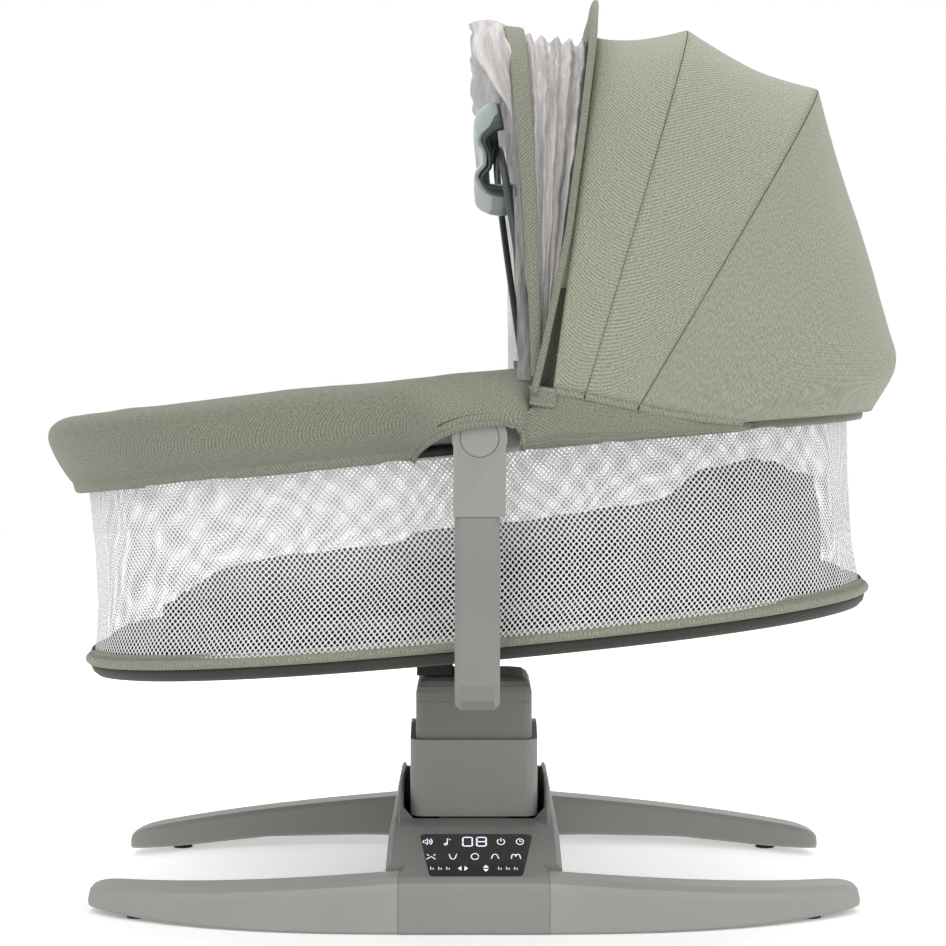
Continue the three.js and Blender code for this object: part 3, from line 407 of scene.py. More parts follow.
# ---- mesh pieces built in code ----
class Cloth:
    """Collects grids, tubes and stitches into one mesh, with UVs in metres and a fold share per vertex."""

    def __init__(self, name, *materials):
        self.name = name
        self.materials = materials
        self.points = []
        self.shares = []
        self.faces = []
        self.uvs = []
        self.slots = []

    def face(self, corners, uvs, slot):
        self.faces.append(corners)
        self.uvs.append(uvs)
        self.slots.append(slot)

    def grid(self, rows, slot=0, shares=None, loop_rows=False, loop_cols=False):
        """Adds faces between neighbouring rows of points; shares has a number, or a list, for each row."""
        count = len(rows[0])
        first = len(self.points)
        for i, row in enumerate(rows):
            self.points.extend(row)
            share = shares[i] if shares else 0.0
            self.shares.extend(share if hasattr(share, "__len__") else [share] * count)
        u = []
        for row in rows:
            run = [0.0]
            for j in range(1, count + 1):
                run.append(run[-1] + (row[j % count] - row[j - 1]).length)
            middle = run[count // 2]
            u.append([value - middle for value in run])
        v = [[0] * (count + 1)]
        for i in range(1, len(rows) + 1):
            here = rows[i % len(rows)]
            steps = [(here[j % count] - rows[i - 1][j % count]).length for j in range(count + 1)]
            v.append([a + b for a, b in zip(v[-1], steps)])
        for i in range(len(rows) if loop_rows else len(rows) - 1):
            k = (i + 1) % len(rows)
            for j in range(count if loop_cols else count - 1):
                m = (j + 1) % count
                near = first + i * count
                far = first + k * count
                corners = [near + j, near + m, far + m, far + j]
                uvs = [(u[i][j], v[i][j]), (u[i][j + 1], v[i][j + 1]),
                       (u[k][j + 1], v[i + 1][j + 1]), (u[k][j], v[i + 1][j])]
                self.face(corners, uvs, slot)

    def tube(self, path, radius, slot=0, sides=10, shares=None, looped=False, squash=1.0, up=None):
        """A round cord along path; squash flattens it along the direction up."""
        rows = []
        frame_side = None
        for i, point in enumerate(path):
            ahead = path[(i + 1) % len(path)] if looped else path[min(i + 1, len(path) - 1)]
            behind = path[i - 1] if looped or i else path[0]
            tangent = (ahead - behind).normalized()
            if up is not None:
                lift = up[i] if isinstance(up, list) else up
                side = tangent.cross(lift).normalized()
            elif frame_side is None:
                side = tangent.orthogonal().normalized()
            else:
                side = (frame_side - tangent * frame_side.dot(tangent)).normalized()
            frame_side = side
            over = side.cross(tangent)
            r = radius(i / (len(path) - 1)) if callable(radius) else radius
            turn = [2 * PI * k / sides for k in range(sides)]
            rows.append([point + side * (r * math.cos(t)) + over * (r * squash * math.sin(t))
                         for t in turn])
        self.grid(rows, slot, shares, loop_rows=looped, loop_cols=True)

    def stitches(self, path, out, slot, pitch=0.0034, long=0.0024, thick=0.00042, shares=None):
        """A row of short raised stitches along path; out holds the surface normal at each point."""
        lengths = [0.0]
        for a, b in zip(path, path[1:]):
            lengths.append(lengths[-1] + (b - a).length)
        place = pitch * 0.5
        i = 0
        while place < lengths[-1] - long:
            while lengths[i + 1] < place:
                i += 1
            part = (place - lengths[i]) / max(lengths[i + 1] - lengths[i], 1e-9)
            centre = path[i].lerp(path[i + 1], part) + out[i] * thick * 0.35
            along = (path[i + 1] - path[i]).normalized()
            side = along.cross(out[i]).normalized()
            share = 0.0
            if shares:
                share = shares[i] + (shares[i + 1] - shares[i]) * part
            first = len(self.points)
            for reach, wide in ((-0.5, 0.35), (-0.3, 1.0), (0.3, 1.0), (0.5, 0.35)):
                for turn in (0.0, 0.5, 1.0, 1.5):
                    angle = turn * PI
                    spread = side * math.cos(angle) + out[i] * math.sin(angle)
                    drop = -0.9 * thick if abs(reach) == 0.5 else 0.0
                    self.points.append(centre + along * long * reach + spread * thick * wide + out[i] * drop)
                    self.shares.append(share)
            for ring in range(3):
                for k in range(4):
                    a = first + ring * 4 + k
                    b = first + ring * 4 + (k + 1) % 4
                    self.face([a, b, b + 4, a + 4], [(0, 0), (0.001, 0), (0.001, 0.001), (0, 0.001)], slot)
            self.face([first + 3, first + 2, first + 1, first], [(0, 0)] * 4, slot)
            self.face([first + 12, first + 13, first + 14, first + 15], [(0, 0)] * 4, slot)
            place += pitch

    def build(self, thickness=0.0, offset=-1.0):
        mesh = bpy.data.meshes.new(self.name)
        mesh.from_pydata(self.points, [], self.faces)
        for material in self.materials:
            mesh.materials.append(material)
        layer = mesh.uv_layers.new(name="weave")
        flat = [value for corners in self.uvs for uv in corners for value in uv]
        layer.data.foreach_set("uv", flat)
        mesh.polygons.foreach_set("material_index", self.slots)
        mesh.polygons.foreach_set("use_smooth", [True] * len(self.faces))
        share = mesh.attributes.new("share", "FLOAT", "POINT")
        share.data.foreach_set("value", self.shares)
        mesh.update()
        piece = in_scene(self.name, mesh)
        if thickness:
            thick = piece.modifiers.new("thick", "SOLIDIFY")
            thick.thickness = thickness
            thick.offset = offset
            settle(piece)
        return piece


def settle(piece):
    """Turns the piece's modifiers into its mesh."""
    graph = bpy.context.evaluated_depsgraph_get()
    settled = piece.evaluated_get(graph)
    mesh = bpy.data.meshes.new_from_object(settled, preserve_all_data_layers=True, depsgraph=graph)
    piece.modifiers.clear()
    piece.data = mesh


def fold_between(piece, body_a, body_b):
    """Reads each point's fold share and works out an even share from it, but puts every point back where it
    was.
    """
    mesh = piece.data
    shares = [value.value for value in mesh.attributes["share"].data]
    rest = [v.co.copy() for v in mesh.vertices]
    for v, share in zip(mesh.vertices, shares):
        even = 0.5 - math.sin(math.asin(1 - 2 * min(max(share, 0), 1)) / 3)
        v.co = (even, 0, 0)
    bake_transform(piece)
    for v, co in zip(mesh.vertices, rest):
        v.co = co


def put(piece, body, *stands_for, slot=None):
    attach(piece, body)
    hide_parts(*stands_for)
    return piece


def lerp(a, b, t):
    return a + (b - a) * t


def signed_power(value, power):
    return math.copysign(abs(value) ** power, value)


def smoothstep(low, high, value):
    t = min(max((value - low) / (high - low), 0), 1)
    return t * t * (3 - 2 * t)


def spline(values, t):
    """Catmull-Rom through equally spaced tuples, t from 0 to 1."""
    last = len(values) - 1
    place = min(max(t, 0), 1) * last
    i = min(int(place), last - 1)
    f = place - i
    before = values[i - 1] if i else [2 * a - b for a, b in zip(values[0], values[1])]
    after = values[i + 2] if i + 2 <= last else [2 * a - b for a, b in zip(values[last], values[last - 1])]
    made = []
    for p0, p1, p2, p3 in zip(before, values[i], values[i + 1], after):
        made.append(0.5 * (2 * p1 + (p2 - p0) * f + (2 * p0 - 5 * p1 + 4 * p2 - p3) * f * f
                           + (3 * p1 - p0 - 3 * p2 + p3) * f ** 3))
    return made


def wrinkle(point, scale, size, seed=0.0):
    """A soft noise height in metres at a point given in metres."""
    return noise.noise(Vector(point) * scale + Vector((seed, seed * 1.7, seed * 0.3))) * size


# ---- the bassinet's own frame: millimetres about the hub, tilted up towards the head end ----
HUB_X = 5
HUB_Z = 446
TILT = math.radians(5.34)
RIM_LENGTH = 384.5
RIM_WIDTH = 238
RIM_SIDE = 263
WALL_CENTRE_TOP = -12
WALL_CENTRE_BOTTOM = -19
FLOOR_DROP = -183
PLAN_POWER = 2.5
COS_TILT = math.cos(TILT)
SIN_TILT = math.sin(TILT)


def world_point(u, y, w):
    return Vector((HUB_X + u * COS_TILT - w * SIN_TILT, y, HUB_Z + u * SIN_TILT + w * COS_TILT)) / 1000


def plan_point(angle, out, width=RIM_WIDTH, centre=WALL_CENTRE_TOP):
    """A point out mm beyond the plan outline, whose half-length is fixed and half-width is given."""
    c = math.cos(angle)
    s = math.sin(angle)
    x = RIM_LENGTH * signed_power(c, 2 / PLAN_POWER)
    y = width * signed_power(s, 2 / PLAN_POWER)
    nx = math.copysign(abs(x / RIM_LENGTH) ** (PLAN_POWER - 1), c) / RIM_LENGTH
    ny = math.copysign(abs(y / width) ** (PLAN_POWER - 1), s) / width
    n = math.hypot(nx, ny)
    return centre + x + out * nx / n, y + out * ny / n


def rim_rise(x):
    return 5 * (1 - (x / 400) ** 2)


def floor_sag(x):
    return -3 * (1 - (x / 400) ** 2)


def even_angles(count, width=RIM_WIDTH):
    """Angles that step evenly along the plan outline, because the formula's own steps bunch up."""
    fine = 4000
    run = [0.0]
    last = plan_point(0, 0, width)
    for i in range(1, fine + 1):
        here = plan_point(2 * PI * i / fine, 0, width)
        run.append(run[-1] + math.hypot(here[0] - last[0], here[1] - last[1]))
        last = here
    angles = []
    i = 0
    for k in range(count):
        goal = run[-1] * k / count
        while run[i + 1] < goal:
            i += 1
        angles.append(2 * PI * (i + (goal - run[i]) / (run[i + 1] - run[i])) / fine)
    return angles


# ---- rim cover: a padded ring with a turned hem ----
# Its section from the turned-under hem, up the outside and over to the inside, as (out, up).
RIM_SECTION = [(1.6, -17.2), (3.0, -19.4), (4.4, -17.0), (4.9, -13.2), (5.3, -10.4), (8.0, -6.6),
               (13.6, 3.6), (18.8, 15), (22.8, 26), (24.6, 34.5), (22.8, 42.6), (16, 48.4), (6, 51.3),
               (-5, 51.2), (-15, 48.2), (-22, 41.5), (-25.2, 30), (-26, 16), (-25.6, 5)]
# How far out the cover reaches over a hub casing, at even steps from its hem to its crown.
HUB_REACH = [(1.6,), (20,), (43,), (50.2,), (50.2,), (47,), (41,), (33,), (25,), (17.5,)]


def hub_swell(x, z, t):
    """How far the cover stands out over a hub casing, in mm, at height z of the rim section."""
    beside = smoothstep(-74, -27, x) * (1 - smoothstep(30, 60, x))
    reach = spline(HUB_REACH, section_height(z))[0]
    near = spline(RIM_SECTION, t)[0]
    return max(reach - near, 0) * beside if t < 0.66 else 0.0


def section_height(z):
    """The share of the way from the hem to the crown of the rim section."""
    return min(max((z + 19.4) / 70, 0), 1)


def rim_point(angle, t, proud=0.0):
    out, z = spline(RIM_SECTION, t)
    x, y = plan_point(angle, out)
    swell = hub_swell(x, z, t)
    if swell:
        x, y = plan_point(angle, out + swell)
    here = world_point(x, y, z + rim_rise(x))
    out2, z2 = spline(RIM_SECTION, min(t + 0.01, 1))
    slope = Vector((out2 - out, z2 - z))
    if slope.length < 1e-6:
        slope = Vector((0, 1))
    slope.normalize()
    nx, ny = plan_point(angle, out + 1)
    level = Vector((nx - x, ny - y))
    face = world_point(x + level.x * slope.y, y + level.y * slope.y, z + rim_rise(x) - slope.x) - here
    puff = wrinkle(here, 9, 0.0014) + wrinkle(here, 30, 0.0007, 3)
    pucker = wrinkle((angle * 40, t * 3, 0), 1.6, 0.0006, 5) * (1 - smoothstep(0.2, 0.42, t))
    return here + face.normalized() * (puff + pucker + proud)


RIM_COUNT = 260
rim_angles = even_angles(RIM_COUNT)
cover = Cloth("rim_cover_cloth", sage_rim, lining)
cover.grid([[rim_point(angle, k / 46) for k in range(47)] for angle in rim_angles], loop_rows=True)
rim_cover = cover.build(thickness=0.0018)


def prism_cutter(outline, y0, y1):
    """A closed prism through an outline of (u, w) in the bassinet frame, from y0 to y1."""
    bm = bmesh.new()
    near = [bm.verts.new(world_point(u, y0, w)) for u, w in outline]
    far = [bm.verts.new(world_point(u, y1, w)) for u, w in outline]
    bm.faces.new(near)
    bm.faces.new(list(reversed(far)))
    for i in range(len(near)):
        k = (i + 1) % len(near)
        bm.faces.new((near[k], near[i], far[i], far[k]))
    bmesh.ops.recalc_face_normals(bm, faces=bm.faces)
    mesh = bpy.data.meshes.new("cutter")
    bm.to_mesh(mesh)
    bm.free()
    return in_scene("cutter", mesh)


def even_normals(piece):
    """Points every face of a closed mesh outwards."""
    bm = bmesh.new()
    bm.from_mesh(piece.data)
    bmesh.ops.recalc_face_normals(bm, faces=bm.faces)
    bm.to_mesh(piece.data)
    bm.free()


def carve(piece, outline, spans):
    even_normals(piece)
    for y0, y1 in spans:
        cutter = prism_cutter(outline, y0, y1)
        cut = piece.modifiers.new("cut", "BOOLEAN")
        cut.object = cutter
        cut.operation = "DIFFERENCE"
        cut.solver = "FAST"
        settle(piece)
        bpy.data.objects.remove(cutter)


# The opening for each hub: an arch over the hub, with a slanting left side and an upright right side.
HUB_ARCH = [(-62, -17), (-57, -9), (-50, -3), (-40, 3), (-26, 8.5), (-10, 12), (8, 12.5), (22, 11.5),
            (31, 7.5)]
HUB_OPENING = [(-63, -40)] + HUB_ARCH + [(35, -1), (37.5, -14), (38, -40)]
carve(rim_cover, HUB_OPENING, [(-320, -232), (232, 320)])
put(rim_cover, "bassinet", "rim_cover", slot="sage_fabric")


def outer_rim_y(u, w):
    """How far out the rim cover reaches at a point (u, w) of its side, in mm."""
    z = w - rim_rise(u)
    low = 0.1
    high = 0.62
    for _ in range(24):
        middle = (low + high) / 2
        if spline(RIM_SECTION, middle)[1] < z:
            low = middle
        else:
            high = middle
    near = spline(RIM_SECTION, low)[0]
    swell = hub_swell(u, z, low)
    bend = (abs(u - WALL_CENTRE_TOP) / RIM_LENGTH) ** PLAN_POWER
    return RIM_WIDTH * (1 - bend) ** (1 / PLAN_POWER) + near + swell


hem_stitches = Cloth("rim_hem_stitches", thread)
for first, last in ((0.05, 0.44), (0.56, 0.95)):
    start = first * 2 * PI - PI / 2
    path = []
    out = []
    for i in range(241):
        angle = start + (last - first) * 2 * PI * i / 240
        here = rim_point(angle, 0.215, 0.0002)
        path.append(here)
        out.append((rim_point(angle, 0.215, 0.001) - here).normalized())
    hem_stitches.stitches(path, out, 0, pitch=0.0036)
put(hem_stitches.build(), "bassinet")


def hub_edge(side):
    """The rolled edge round a hub opening, the welt above it, and the lining that shows inside."""
    tag = "front" if side < 0 else "rear"
    arch = [spline(HUB_ARCH, i / 60) for i in range(61)]
    edge = Cloth("hub_edge_" + tag, sage_rim, sage_painted_shade, thread)
    roll = []
    welt = []
    row = []
    for i, (u, w) in enumerate(arch):
        fade = smoothstep(0, 10, i) * (1 - smoothstep(52, 60, i))
        roll.append(world_point(u, side * (outer_rim_y(u, w) - 0.6), w - 0.6))
        lift = 2.5 + 5.5 * fade
        welt.append(world_point(u - 1.5, side * (outer_rim_y(u - 1.5, w + lift) + 0.5), w + lift))
        row.append(world_point(u - 1.5, side * (outer_rim_y(u - 1.5, w + lift + 3) + 0.3), w + lift + 3))
    edge.tube(roll, lambda t: 0.0022 + 0.0009 * math.sin(PI * t), sides=12)
    # The welt takes the darker twill: painted shade along the crease above the roll.
    edge.tube(welt, 0.0009, slot=1, sides=8)
    edge.stitches(row, [Vector((0, side, 0))] * len(row), 2, pitch=0.0034)
    put(edge.build(), "bassinet", slot="sage_fabric")
    inner = Cloth("hub_lining_" + tag, lining, black)
    back = []
    for i in range(13):
        u = -60 + 96 * i / 12
        depth = 233.5 + wrinkle((u / 20, 0, side), 1, 1.2)
        back.append([world_point(u, side * depth, w) for w in (-16, -11, -2, 8, 18, 30)])
    inner.grid(back)
    inner.grid([[world_point(u, side * (235.6 + 0.3 * math.sin(u / 3)), w) for w in (-14, -9, -4)]
                for u in range(-60, -22, 2)], slot=1)
    put(inner.build(thickness=0.001), "bassinet", slot="sage_fabric")


for side in (-1, 1):
    hub_edge(side)


# The skirt behind each hub: it hangs below the canopy's hem and hides the canopy hinge.
SKIRT_TOP = [(38, 16), (45, 20.5), (55, 27), (64, 32), (78, 29.5), (90, 26), (113, 19.5), (136, 13),
             (160, 9), (185, 4), (210, -2), (235, -8), (254, -12.5)]


def skirt_side(u):
    return lerp(277.6, 247, smoothstep(136, 235, u) if u < 235 else 1)


def skirt_point(side, u, w_top, t):
    """t runs from 0 at the top edge to 1 at the turned-under bottom edge."""
    out = skirt_side(u)
    shut = smoothstep(228, 254, u)
    hem = outer_rim_y(u, -13)
    drop = lerp(w_top, -19.5 + rim_rise(u), t)
    bow = math.sin(PI * min(t * 1.15, 1)) * 2.2
    tuck = smoothstep(0.76, 1.0, t)
    y = lerp(out + bow, hem + 0.6, tuck)
    y = lerp(y, outer_rim_y(u, max(drop, -13)) - 0.5, shut)
    here = world_point(u, side * y, drop)
    puff = wrinkle(here, 24, 0.0011, 4) + wrinkle(here, 9, 0.0012, 6)
    return here + Vector((0, side, 0)) * puff * (1 - shut)


def hinge_skirt(side):
    skirt = Cloth("hinge_skirt_" + ("front" if side < 0 else "rear"), sage_rim, thread)
    rows = []
    for i in range(91):
        u, w_top = spline(SKIRT_TOP, i / 90)
        rows.append([skirt_point(side, u, w_top, k / 20) for k in range(21)])
    skirt.grid(rows)
    first = [p + Vector((0, side * 0.0002, 0)) for p in rows[0]]
    skirt.tube(first, 0.0011, sides=8)
    hem = [row[17] + Vector((0, side * 0.0003, 0)) for row in rows]
    skirt.stitches(hem, [Vector((0, side * 0.8, -0.6))] * len(hem), 1, pitch=0.0036)
    return put(skirt.build(thickness=0.0012, offset=-1 if side < 0 else 1), "bassinet", slot="sage_fabric")


hinge_skirts = [hinge_skirt(side) for side in (-1, 1)]


def cover_seam(angle, name):
    """A short felled seam that crosses the outside of the rim cover."""
    seam = Cloth(name, sage_rim, thread)
    path = [rim_point(angle, t / 40, 0.0001) for t in range(16, 36)]
    seam.tube(path, 0.0009, sides=8)
    out = [(rim_point(angle, t / 40, 0.001) - rim_point(angle, t / 40)).normalized() for t in range(16, 36)]
    aside = (rim_point(angle + 0.004, 0.5) - rim_point(angle - 0.004, 0.5)).normalized() * 0.0032
    seam.stitches([p + aside for p in path], out, 1)
    put(seam.build(), "bassinet")


cover_seam(-PI / 2 + 0.034, "rim_seam_front")
cover_seam(PI / 2 - 0.034, "rim_seam_rear")


# ---- mesh wall, floor piping, floor board ----
def wall_point(angle, level):
    z = lerp(-10, -181, level)
    out = spline([(-8.6,), (-11.0,), (-12.0,), (-10.4,), (-5.4,)], level)[0]
    centre = lerp(WALL_CENTRE_TOP, WALL_CENTRE_BOTTOM, z / FLOOR_DROP)
    x, y = plan_point(angle, out, centre=centre)
    here = world_point(x, y, z + rim_rise(x) * 0.6 * (1 - level) + floor_sag(x) * level)
    pull = 4 * level * (1 - level)
    away = Vector((x - centre, y, 0)).normalized()
    return here + away * (wrinkle((angle * 7, level, 0), 1, 0.0022, 4) + wrinkle(here, 22, 0.0009)) * pull


wall = Cloth("mesh_wall_cloth", white_mesh)
wall_angles = even_angles(240)
wall.grid([[wall_point(angle, k / 16) for angle in wall_angles] for k in range(17)], loop_cols=True)
mesh_wall = put(wall.build(), "bassinet", "mesh_wall", slot="white_mesh")


def floor_ring(out, z, count=220, width=RIM_WIDTH - 4):
    points = []
    for angle in even_angles(count, width):
        x, y = plan_point(angle, out, width, WALL_CENTRE_BOTTOM)
        points.append(world_point(x, y, z + floor_sag(x)))
    return points


piping = Cloth("floor_piping_cloth", sage_piping, thread)
centre_line = floor_ring(-1.2, FLOOR_DROP)
piping.tube(centre_line, 0.0047, sides=12, looped=True, squash=0.92, up=Vector((0, 0, 1)))
tape = [floor_ring(out, FLOOR_DROP + up) for out, up in ((-3.4, 9.5), (-3.0, 6), (-1.8, 3))]
piping.grid(tape, loop_cols=True)
edge = floor_ring(-2.6, FLOOR_DROP + 7.4)
middle = world_point(WALL_CENTRE_BOTTOM, 0, FLOOR_DROP)
outs = [Vector((p.x - middle.x, p.y, 0)).normalized() for p in edge]
piping.stitches(edge + edge[:1], outs + outs[:1], 1, pitch=0.0036)
put(piping.build(), "bassinet", "floor_piping", slot="sage_fabric_dark")

board = Cloth("floor_board_cloth", charcoal)
board_section = [(-7, -184.6), (-2.4, -187.2), (-1.4, -190), (-3.0, -194.6), (-7.2, -198.4), (-13, -199.6)]
board_rows = [floor_ring(out, z) for out, z in board_section]
board_edge = board_rows[-1]
under = world_point(WALL_CENTRE_BOTTOM, 0, -199.8)
over = world_point(WALL_CENTRE_BOTTOM, 0, -185.2)
for share in (0.86, 0.66, 0.46, 0.28, 0.12, 0.03):
    board_rows.append([under.lerp(p, share) + Vector((0, 0, wrinkle(p, 8, 0.001))) for p in board_edge])
top_rows = []
for share in (0.03, 0.3, 0.62, 0.9):
    top_rows.append([over.lerp(p, share) for p in board_rows[0]])
board.grid(list(reversed(board_rows)) + list(reversed(top_rows)), loop_cols=True)
put(board.build(), "bassinet", "floor_board", slot="charcoal")


# ---- mattress and seat insert: stuffed pads ----
def stuffed(name, node, material, voxel, shrink, cap, pressure=4.0, steps=20):
    """Swells a slightly smaller copy of a CAD solid by cloth simulation, with each point's travel capped."""
    source = nodes[node]
    mesh = source.data.copy()
    mesh.materials.clear()
    mesh.materials.append(material)
    piece = in_scene(name, mesh)
    bm = bmesh.new()
    bm.from_mesh(mesh)
    bmesh.ops.remove_doubles(bm, verts=bm.verts, dist=1e-5)
    bmesh.ops.recalc_face_normals(bm, faces=bm.faces)
    bm.to_mesh(mesh)
    bm.free()
    remesh = piece.modifiers.new("remesh", "REMESH")
    remesh.mode = "VOXEL"
    remesh.voxel_size = voxel
    settle(piece)
    for v, normal in zip(piece.data.vertices, [v.normal.copy() for v in piece.data.vertices]):
        v.co -= normal * shrink
    rest = [v.co.copy() for v in piece.data.vertices]
    cloth = piece.modifiers.new("swell", "CLOTH")
    cloth.settings.quality = 5
    cloth.settings.mass = 0.25
    cloth.settings.tension_stiffness = 14
    cloth.settings.compression_stiffness = 14
    cloth.settings.bending_stiffness = 0.8
    cloth.settings.use_pressure = True
    cloth.settings.uniform_pressure_force = pressure
    cloth.settings.effector_weights.gravity = 0
    cloth.point_cache.frame_start = 1
    cloth.point_cache.frame_end = steps
    for step in range(1, steps + 1):
        bpy.context.scene.frame_set(step)
    settle(piece)
    bpy.context.scene.frame_set(1)
    for v, start in zip(piece.data.vertices, rest):
        moved = v.co - start
        if moved.length > cap:
            v.co = start + moved * (cap / moved.length)
    for face in piece.data.polygons:
        face.use_smooth = True
    return piece


mattress = stuffed("mattress_pad", "mattress", grey_pad, 0.009, 0.003, 0.004)
put(mattress, "bassinet", "mattress", slot="white_mesh")
insert = stuffed("seat_insert_pad", "seat_insert", grey_pad, 0.008, 0.007, 0.010)
for v in insert.data.vertices:
    quilt = math.sin(v.co.x * 2 * PI / 0.11) * math.sin(v.co.y * 2 * PI / 0.13 + 0.6)
    v.co.z += 0.0022 * quilt + wrinkle(v.co, 26, 0.0016)
put(insert, "bassinet", "seat_insert", slot="grey_fabric")


# ---- canopy: seams rise from feet on the hem to tops on the middle plane ----
CANOPY_HALF = RIM_SIDE + 15
CANOPY_TAPER = 0.08
FRONT_POWER = 4.4
# Each seam is foot x, foot z, top x, top z, half-width, power, and how far its end stays above the foot.
FRONT_SEAM = (64, 20, 145, 366, CANOPY_HALF, FRONT_POWER, 14)
MIDDLE_SEAM = (90, 14, 232, 365, CANOPY_HALF, 4.4, 12)
DIP_SEAM = (113, 10, 293, 325, CANOPY_HALF, 4.2, 9)
REAR_SEAM = (136, 6, 351, 299, CANOPY_HALF, 4.0, 7)
BACK_SEAMS = [REAR_SEAM]
for step, (top_x, top_z) in enumerate(((365, 228), (386, 152), (403, 71), (409, 30), (385, -12))):
    share = (step + 1) / 5
    half = lerp(CANOPY_HALF, CANOPY_HALF - 31, share)
    BACK_SEAMS.append((lerp(136, 235, share), lerp(6, -8, share), top_x, top_z, half,
                       lerp(4, 2.2, share), lerp(7, 0, share)))


def seam_point(seam, turn, out=0.0, along=0.0):
    foot_x, foot_z, top_x, top_z, half, power = seam[:6]
    rise = math.sin(turn) ** (2 / power) if 0 < turn < PI else 0.0
    side = -signed_power(math.cos(turn), 2 / power)
    dx = top_x - foot_x
    dz = top_z - foot_z
    length = math.hypot(dx, dz)
    n_rise = rise ** (power - 1) / length
    n_side = signed_power(side, power - 1) / half
    n = math.hypot(n_rise, n_side)
    high = rise * length + out * n_rise / n
    y = (side * half + out * n_side / n) * (1 - CANOPY_TAPER * rise)
    x = foot_x + (dx * high + dz * along) / length
    z = foot_z + (dz * high - dx * along) / length
    return world_point(x, y, z)


def seam_turns(seam, count, lift=None):
    """Turns that step evenly along a seam, from lift mm above one foot to lift mm above the other."""
    lift = seam[6] if lift is None else lift
    fine = 3000
    run = [0.0]
    last = seam_point(seam, 0)
    for i in range(1, fine + 1):
        here = seam_point(seam, PI * (i / fine))
        run.append(run[-1] + (here - last).length)
        last = here
    start = lift / 1000
    turns = []
    i = 0
    for k in range(count + 1):
        goal = lerp(start, run[-1] - start, k / count)
        while i < fine - 1 and run[i + 1] < goal:
            i += 1
        turns.append(PI * (i + (goal - run[i]) / (run[i + 1] - run[i])) / fine)
    return turns


SEAM_STEPS = 96


def canopy_rows(seams, count, sag):
    """Rows from the first seam to the last, each with even steps along its seam and a sag in between."""
    rows = []
    for k in range(count + 1):
        t = k / count
        seam = spline(seams, t)
        turns = seam_turns(seam, SEAM_STEPS)
        row = []
        for j, turn in enumerate(turns):
            rise = math.sin(turn)
            dip = sag * 4 * t * (1 - t) * (0.25 + 0.75 * rise)
            here = seam_point(seam, turn, -dip)
            fall = seam_point(seam, turn, -dip - 1) - here
            ripple = wrinkle(here, 11, 0.0016, 8) + wrinkle(here, 34, 0.0005, 9)
            tug = math.sin(j * 0.9 + t * 3) * 0.0005 * (1 - rise) ** 2
            row.append(here + fall.normalized() * (ripple + tug) * min(1, 8 * t * (1 - t)))
        rows.append(row)
    return rows


def trimmed(rows, first, last):
    """Draws the first and the last row back a little, so that neighbouring panels never share a face."""
    start = [a + (b - a).normalized() * first for a, b in zip(rows[0], rows[1])]
    end = [a + (b - a).normalized() * last for a, b in zip(rows[-1], rows[-2])]
    return [start] + rows[1:-1] + [end]


def panel(name, seams, count, sag, bodies, node, material):
    rows = trimmed(canopy_rows(seams, count, sag), 0.0002, 0.0002)
    shares = [k / count for k in range(count + 1)]
    cloth = Cloth(name, material, sage_piping, thread)
    cloth.grid(rows, shares=shares)
    for end in (0, -1):
        hem = [row[end] for row in rows]
        cloth.tube(hem, 0.0021, slot=1, sides=8, shares=shares)
        inward, side = (-4, 1) if end else (3, -1)
        path = [row[inward] for row in rows]
        cloth.stitches(path, [Vector((0, side, 0))] * len(path), 2, pitch=0.0036, shares=shares)
    made = cloth.build(thickness=0.0014)
    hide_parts(node)
    fold_between(made, *bodies)
    return made


front_panel = panel("canopy_front_cloth", [FRONT_SEAM, MIDDLE_SEAM], 12, 5,
                    ("canopy_front", "canopy_middle"), "canopy_front_panel", sage)
middle_panel = panel("canopy_middle_cloth", [MIDDLE_SEAM, DIP_SEAM, REAR_SEAM], 16, 2,
                     ("canopy_middle", "canopy_rear"), "canopy_middle_panel", sage_other_way)
rear_panel = panel("canopy_rear_cloth", BACK_SEAMS, 36, 0,
                   ("canopy_rear", "bassinet"), "canopy_rear_panel", sage)


def seam_welt(seam, name, body):
    """The raised seam over a bow, drawn in the darker twill as painted shade along its ridge."""
    welt = Cloth(name, sage_painted_shade)
    welt.tube([seam_point(seam, turn, -0.1) for turn in seam_turns(seam, 150)], 0.0009, sides=8)
    put(welt.build(), body)


seam_welt(MIDDLE_SEAM, "canopy_middle_seam", "canopy_middle")
seam_welt(REAR_SEAM, "canopy_rear_seam", "canopy_rear")


def bead(name, rows, body, material, slot, *stands_for):
    """A closed strip through rings of points, with a cap at each end."""
    made = Cloth(name, material)
    made.grid(rows, loop_cols=True)
    first = len(rows[0])
    for end in (0, len(rows) - 1):
        ring = [end * first + k for k in range(first)]
        made.face(ring if end else list(reversed(ring)), [(0, 0)] * first, 0)
    return put(made.build(), body, *stands_for, slot=slot)


def front_rise(turn):
    """How far up the front seam a turn is, from 0 at its feet to 1 at its top."""
    return math.sin(turn) ** (2 / FRONT_POWER)


# ---- visor: a padded strip that stands out round the front edge ----
def visor_droop(turn):
    """How far the strip falls away from the canopy: 1 at its feet, 0 from less than half-way up."""
    return max(1 - front_rise(turn) / 0.46, 0) ** 1.25


def visor_shift(turn):
    """How far in the strip's outside lies from the front seam, in mm."""
    return -1.5 - 12 * visor_droop(turn)


visor_rows = []
visor_turns = seam_turns(FRONT_SEAM, 120, 8)
for turn in visor_turns:
    wide = 9 + 28 * math.sin(turn) ** 1.4
    shift = visor_shift(turn)
    ring = []
    for k in range(20):
        a = 2 * PI * k / 20
        across = lerp(-3, wide, 0.5 + 0.5 * signed_power(math.cos(a), 0.45))
        thick = shift - 3.3 + 3.1 * signed_power(math.sin(a), 0.8)
        here = seam_point(FRONT_SEAM, turn, across, thick)
        ring.append(here + Vector((wrinkle(here, 18, 0.0012), 0, wrinkle(here, 15, 0.0007, 2))))
    visor_rows.append(ring)
visor = bead("visor_cloth", visor_rows, "canopy_front", sage_rim, "sage_fabric", "canopy_visor")
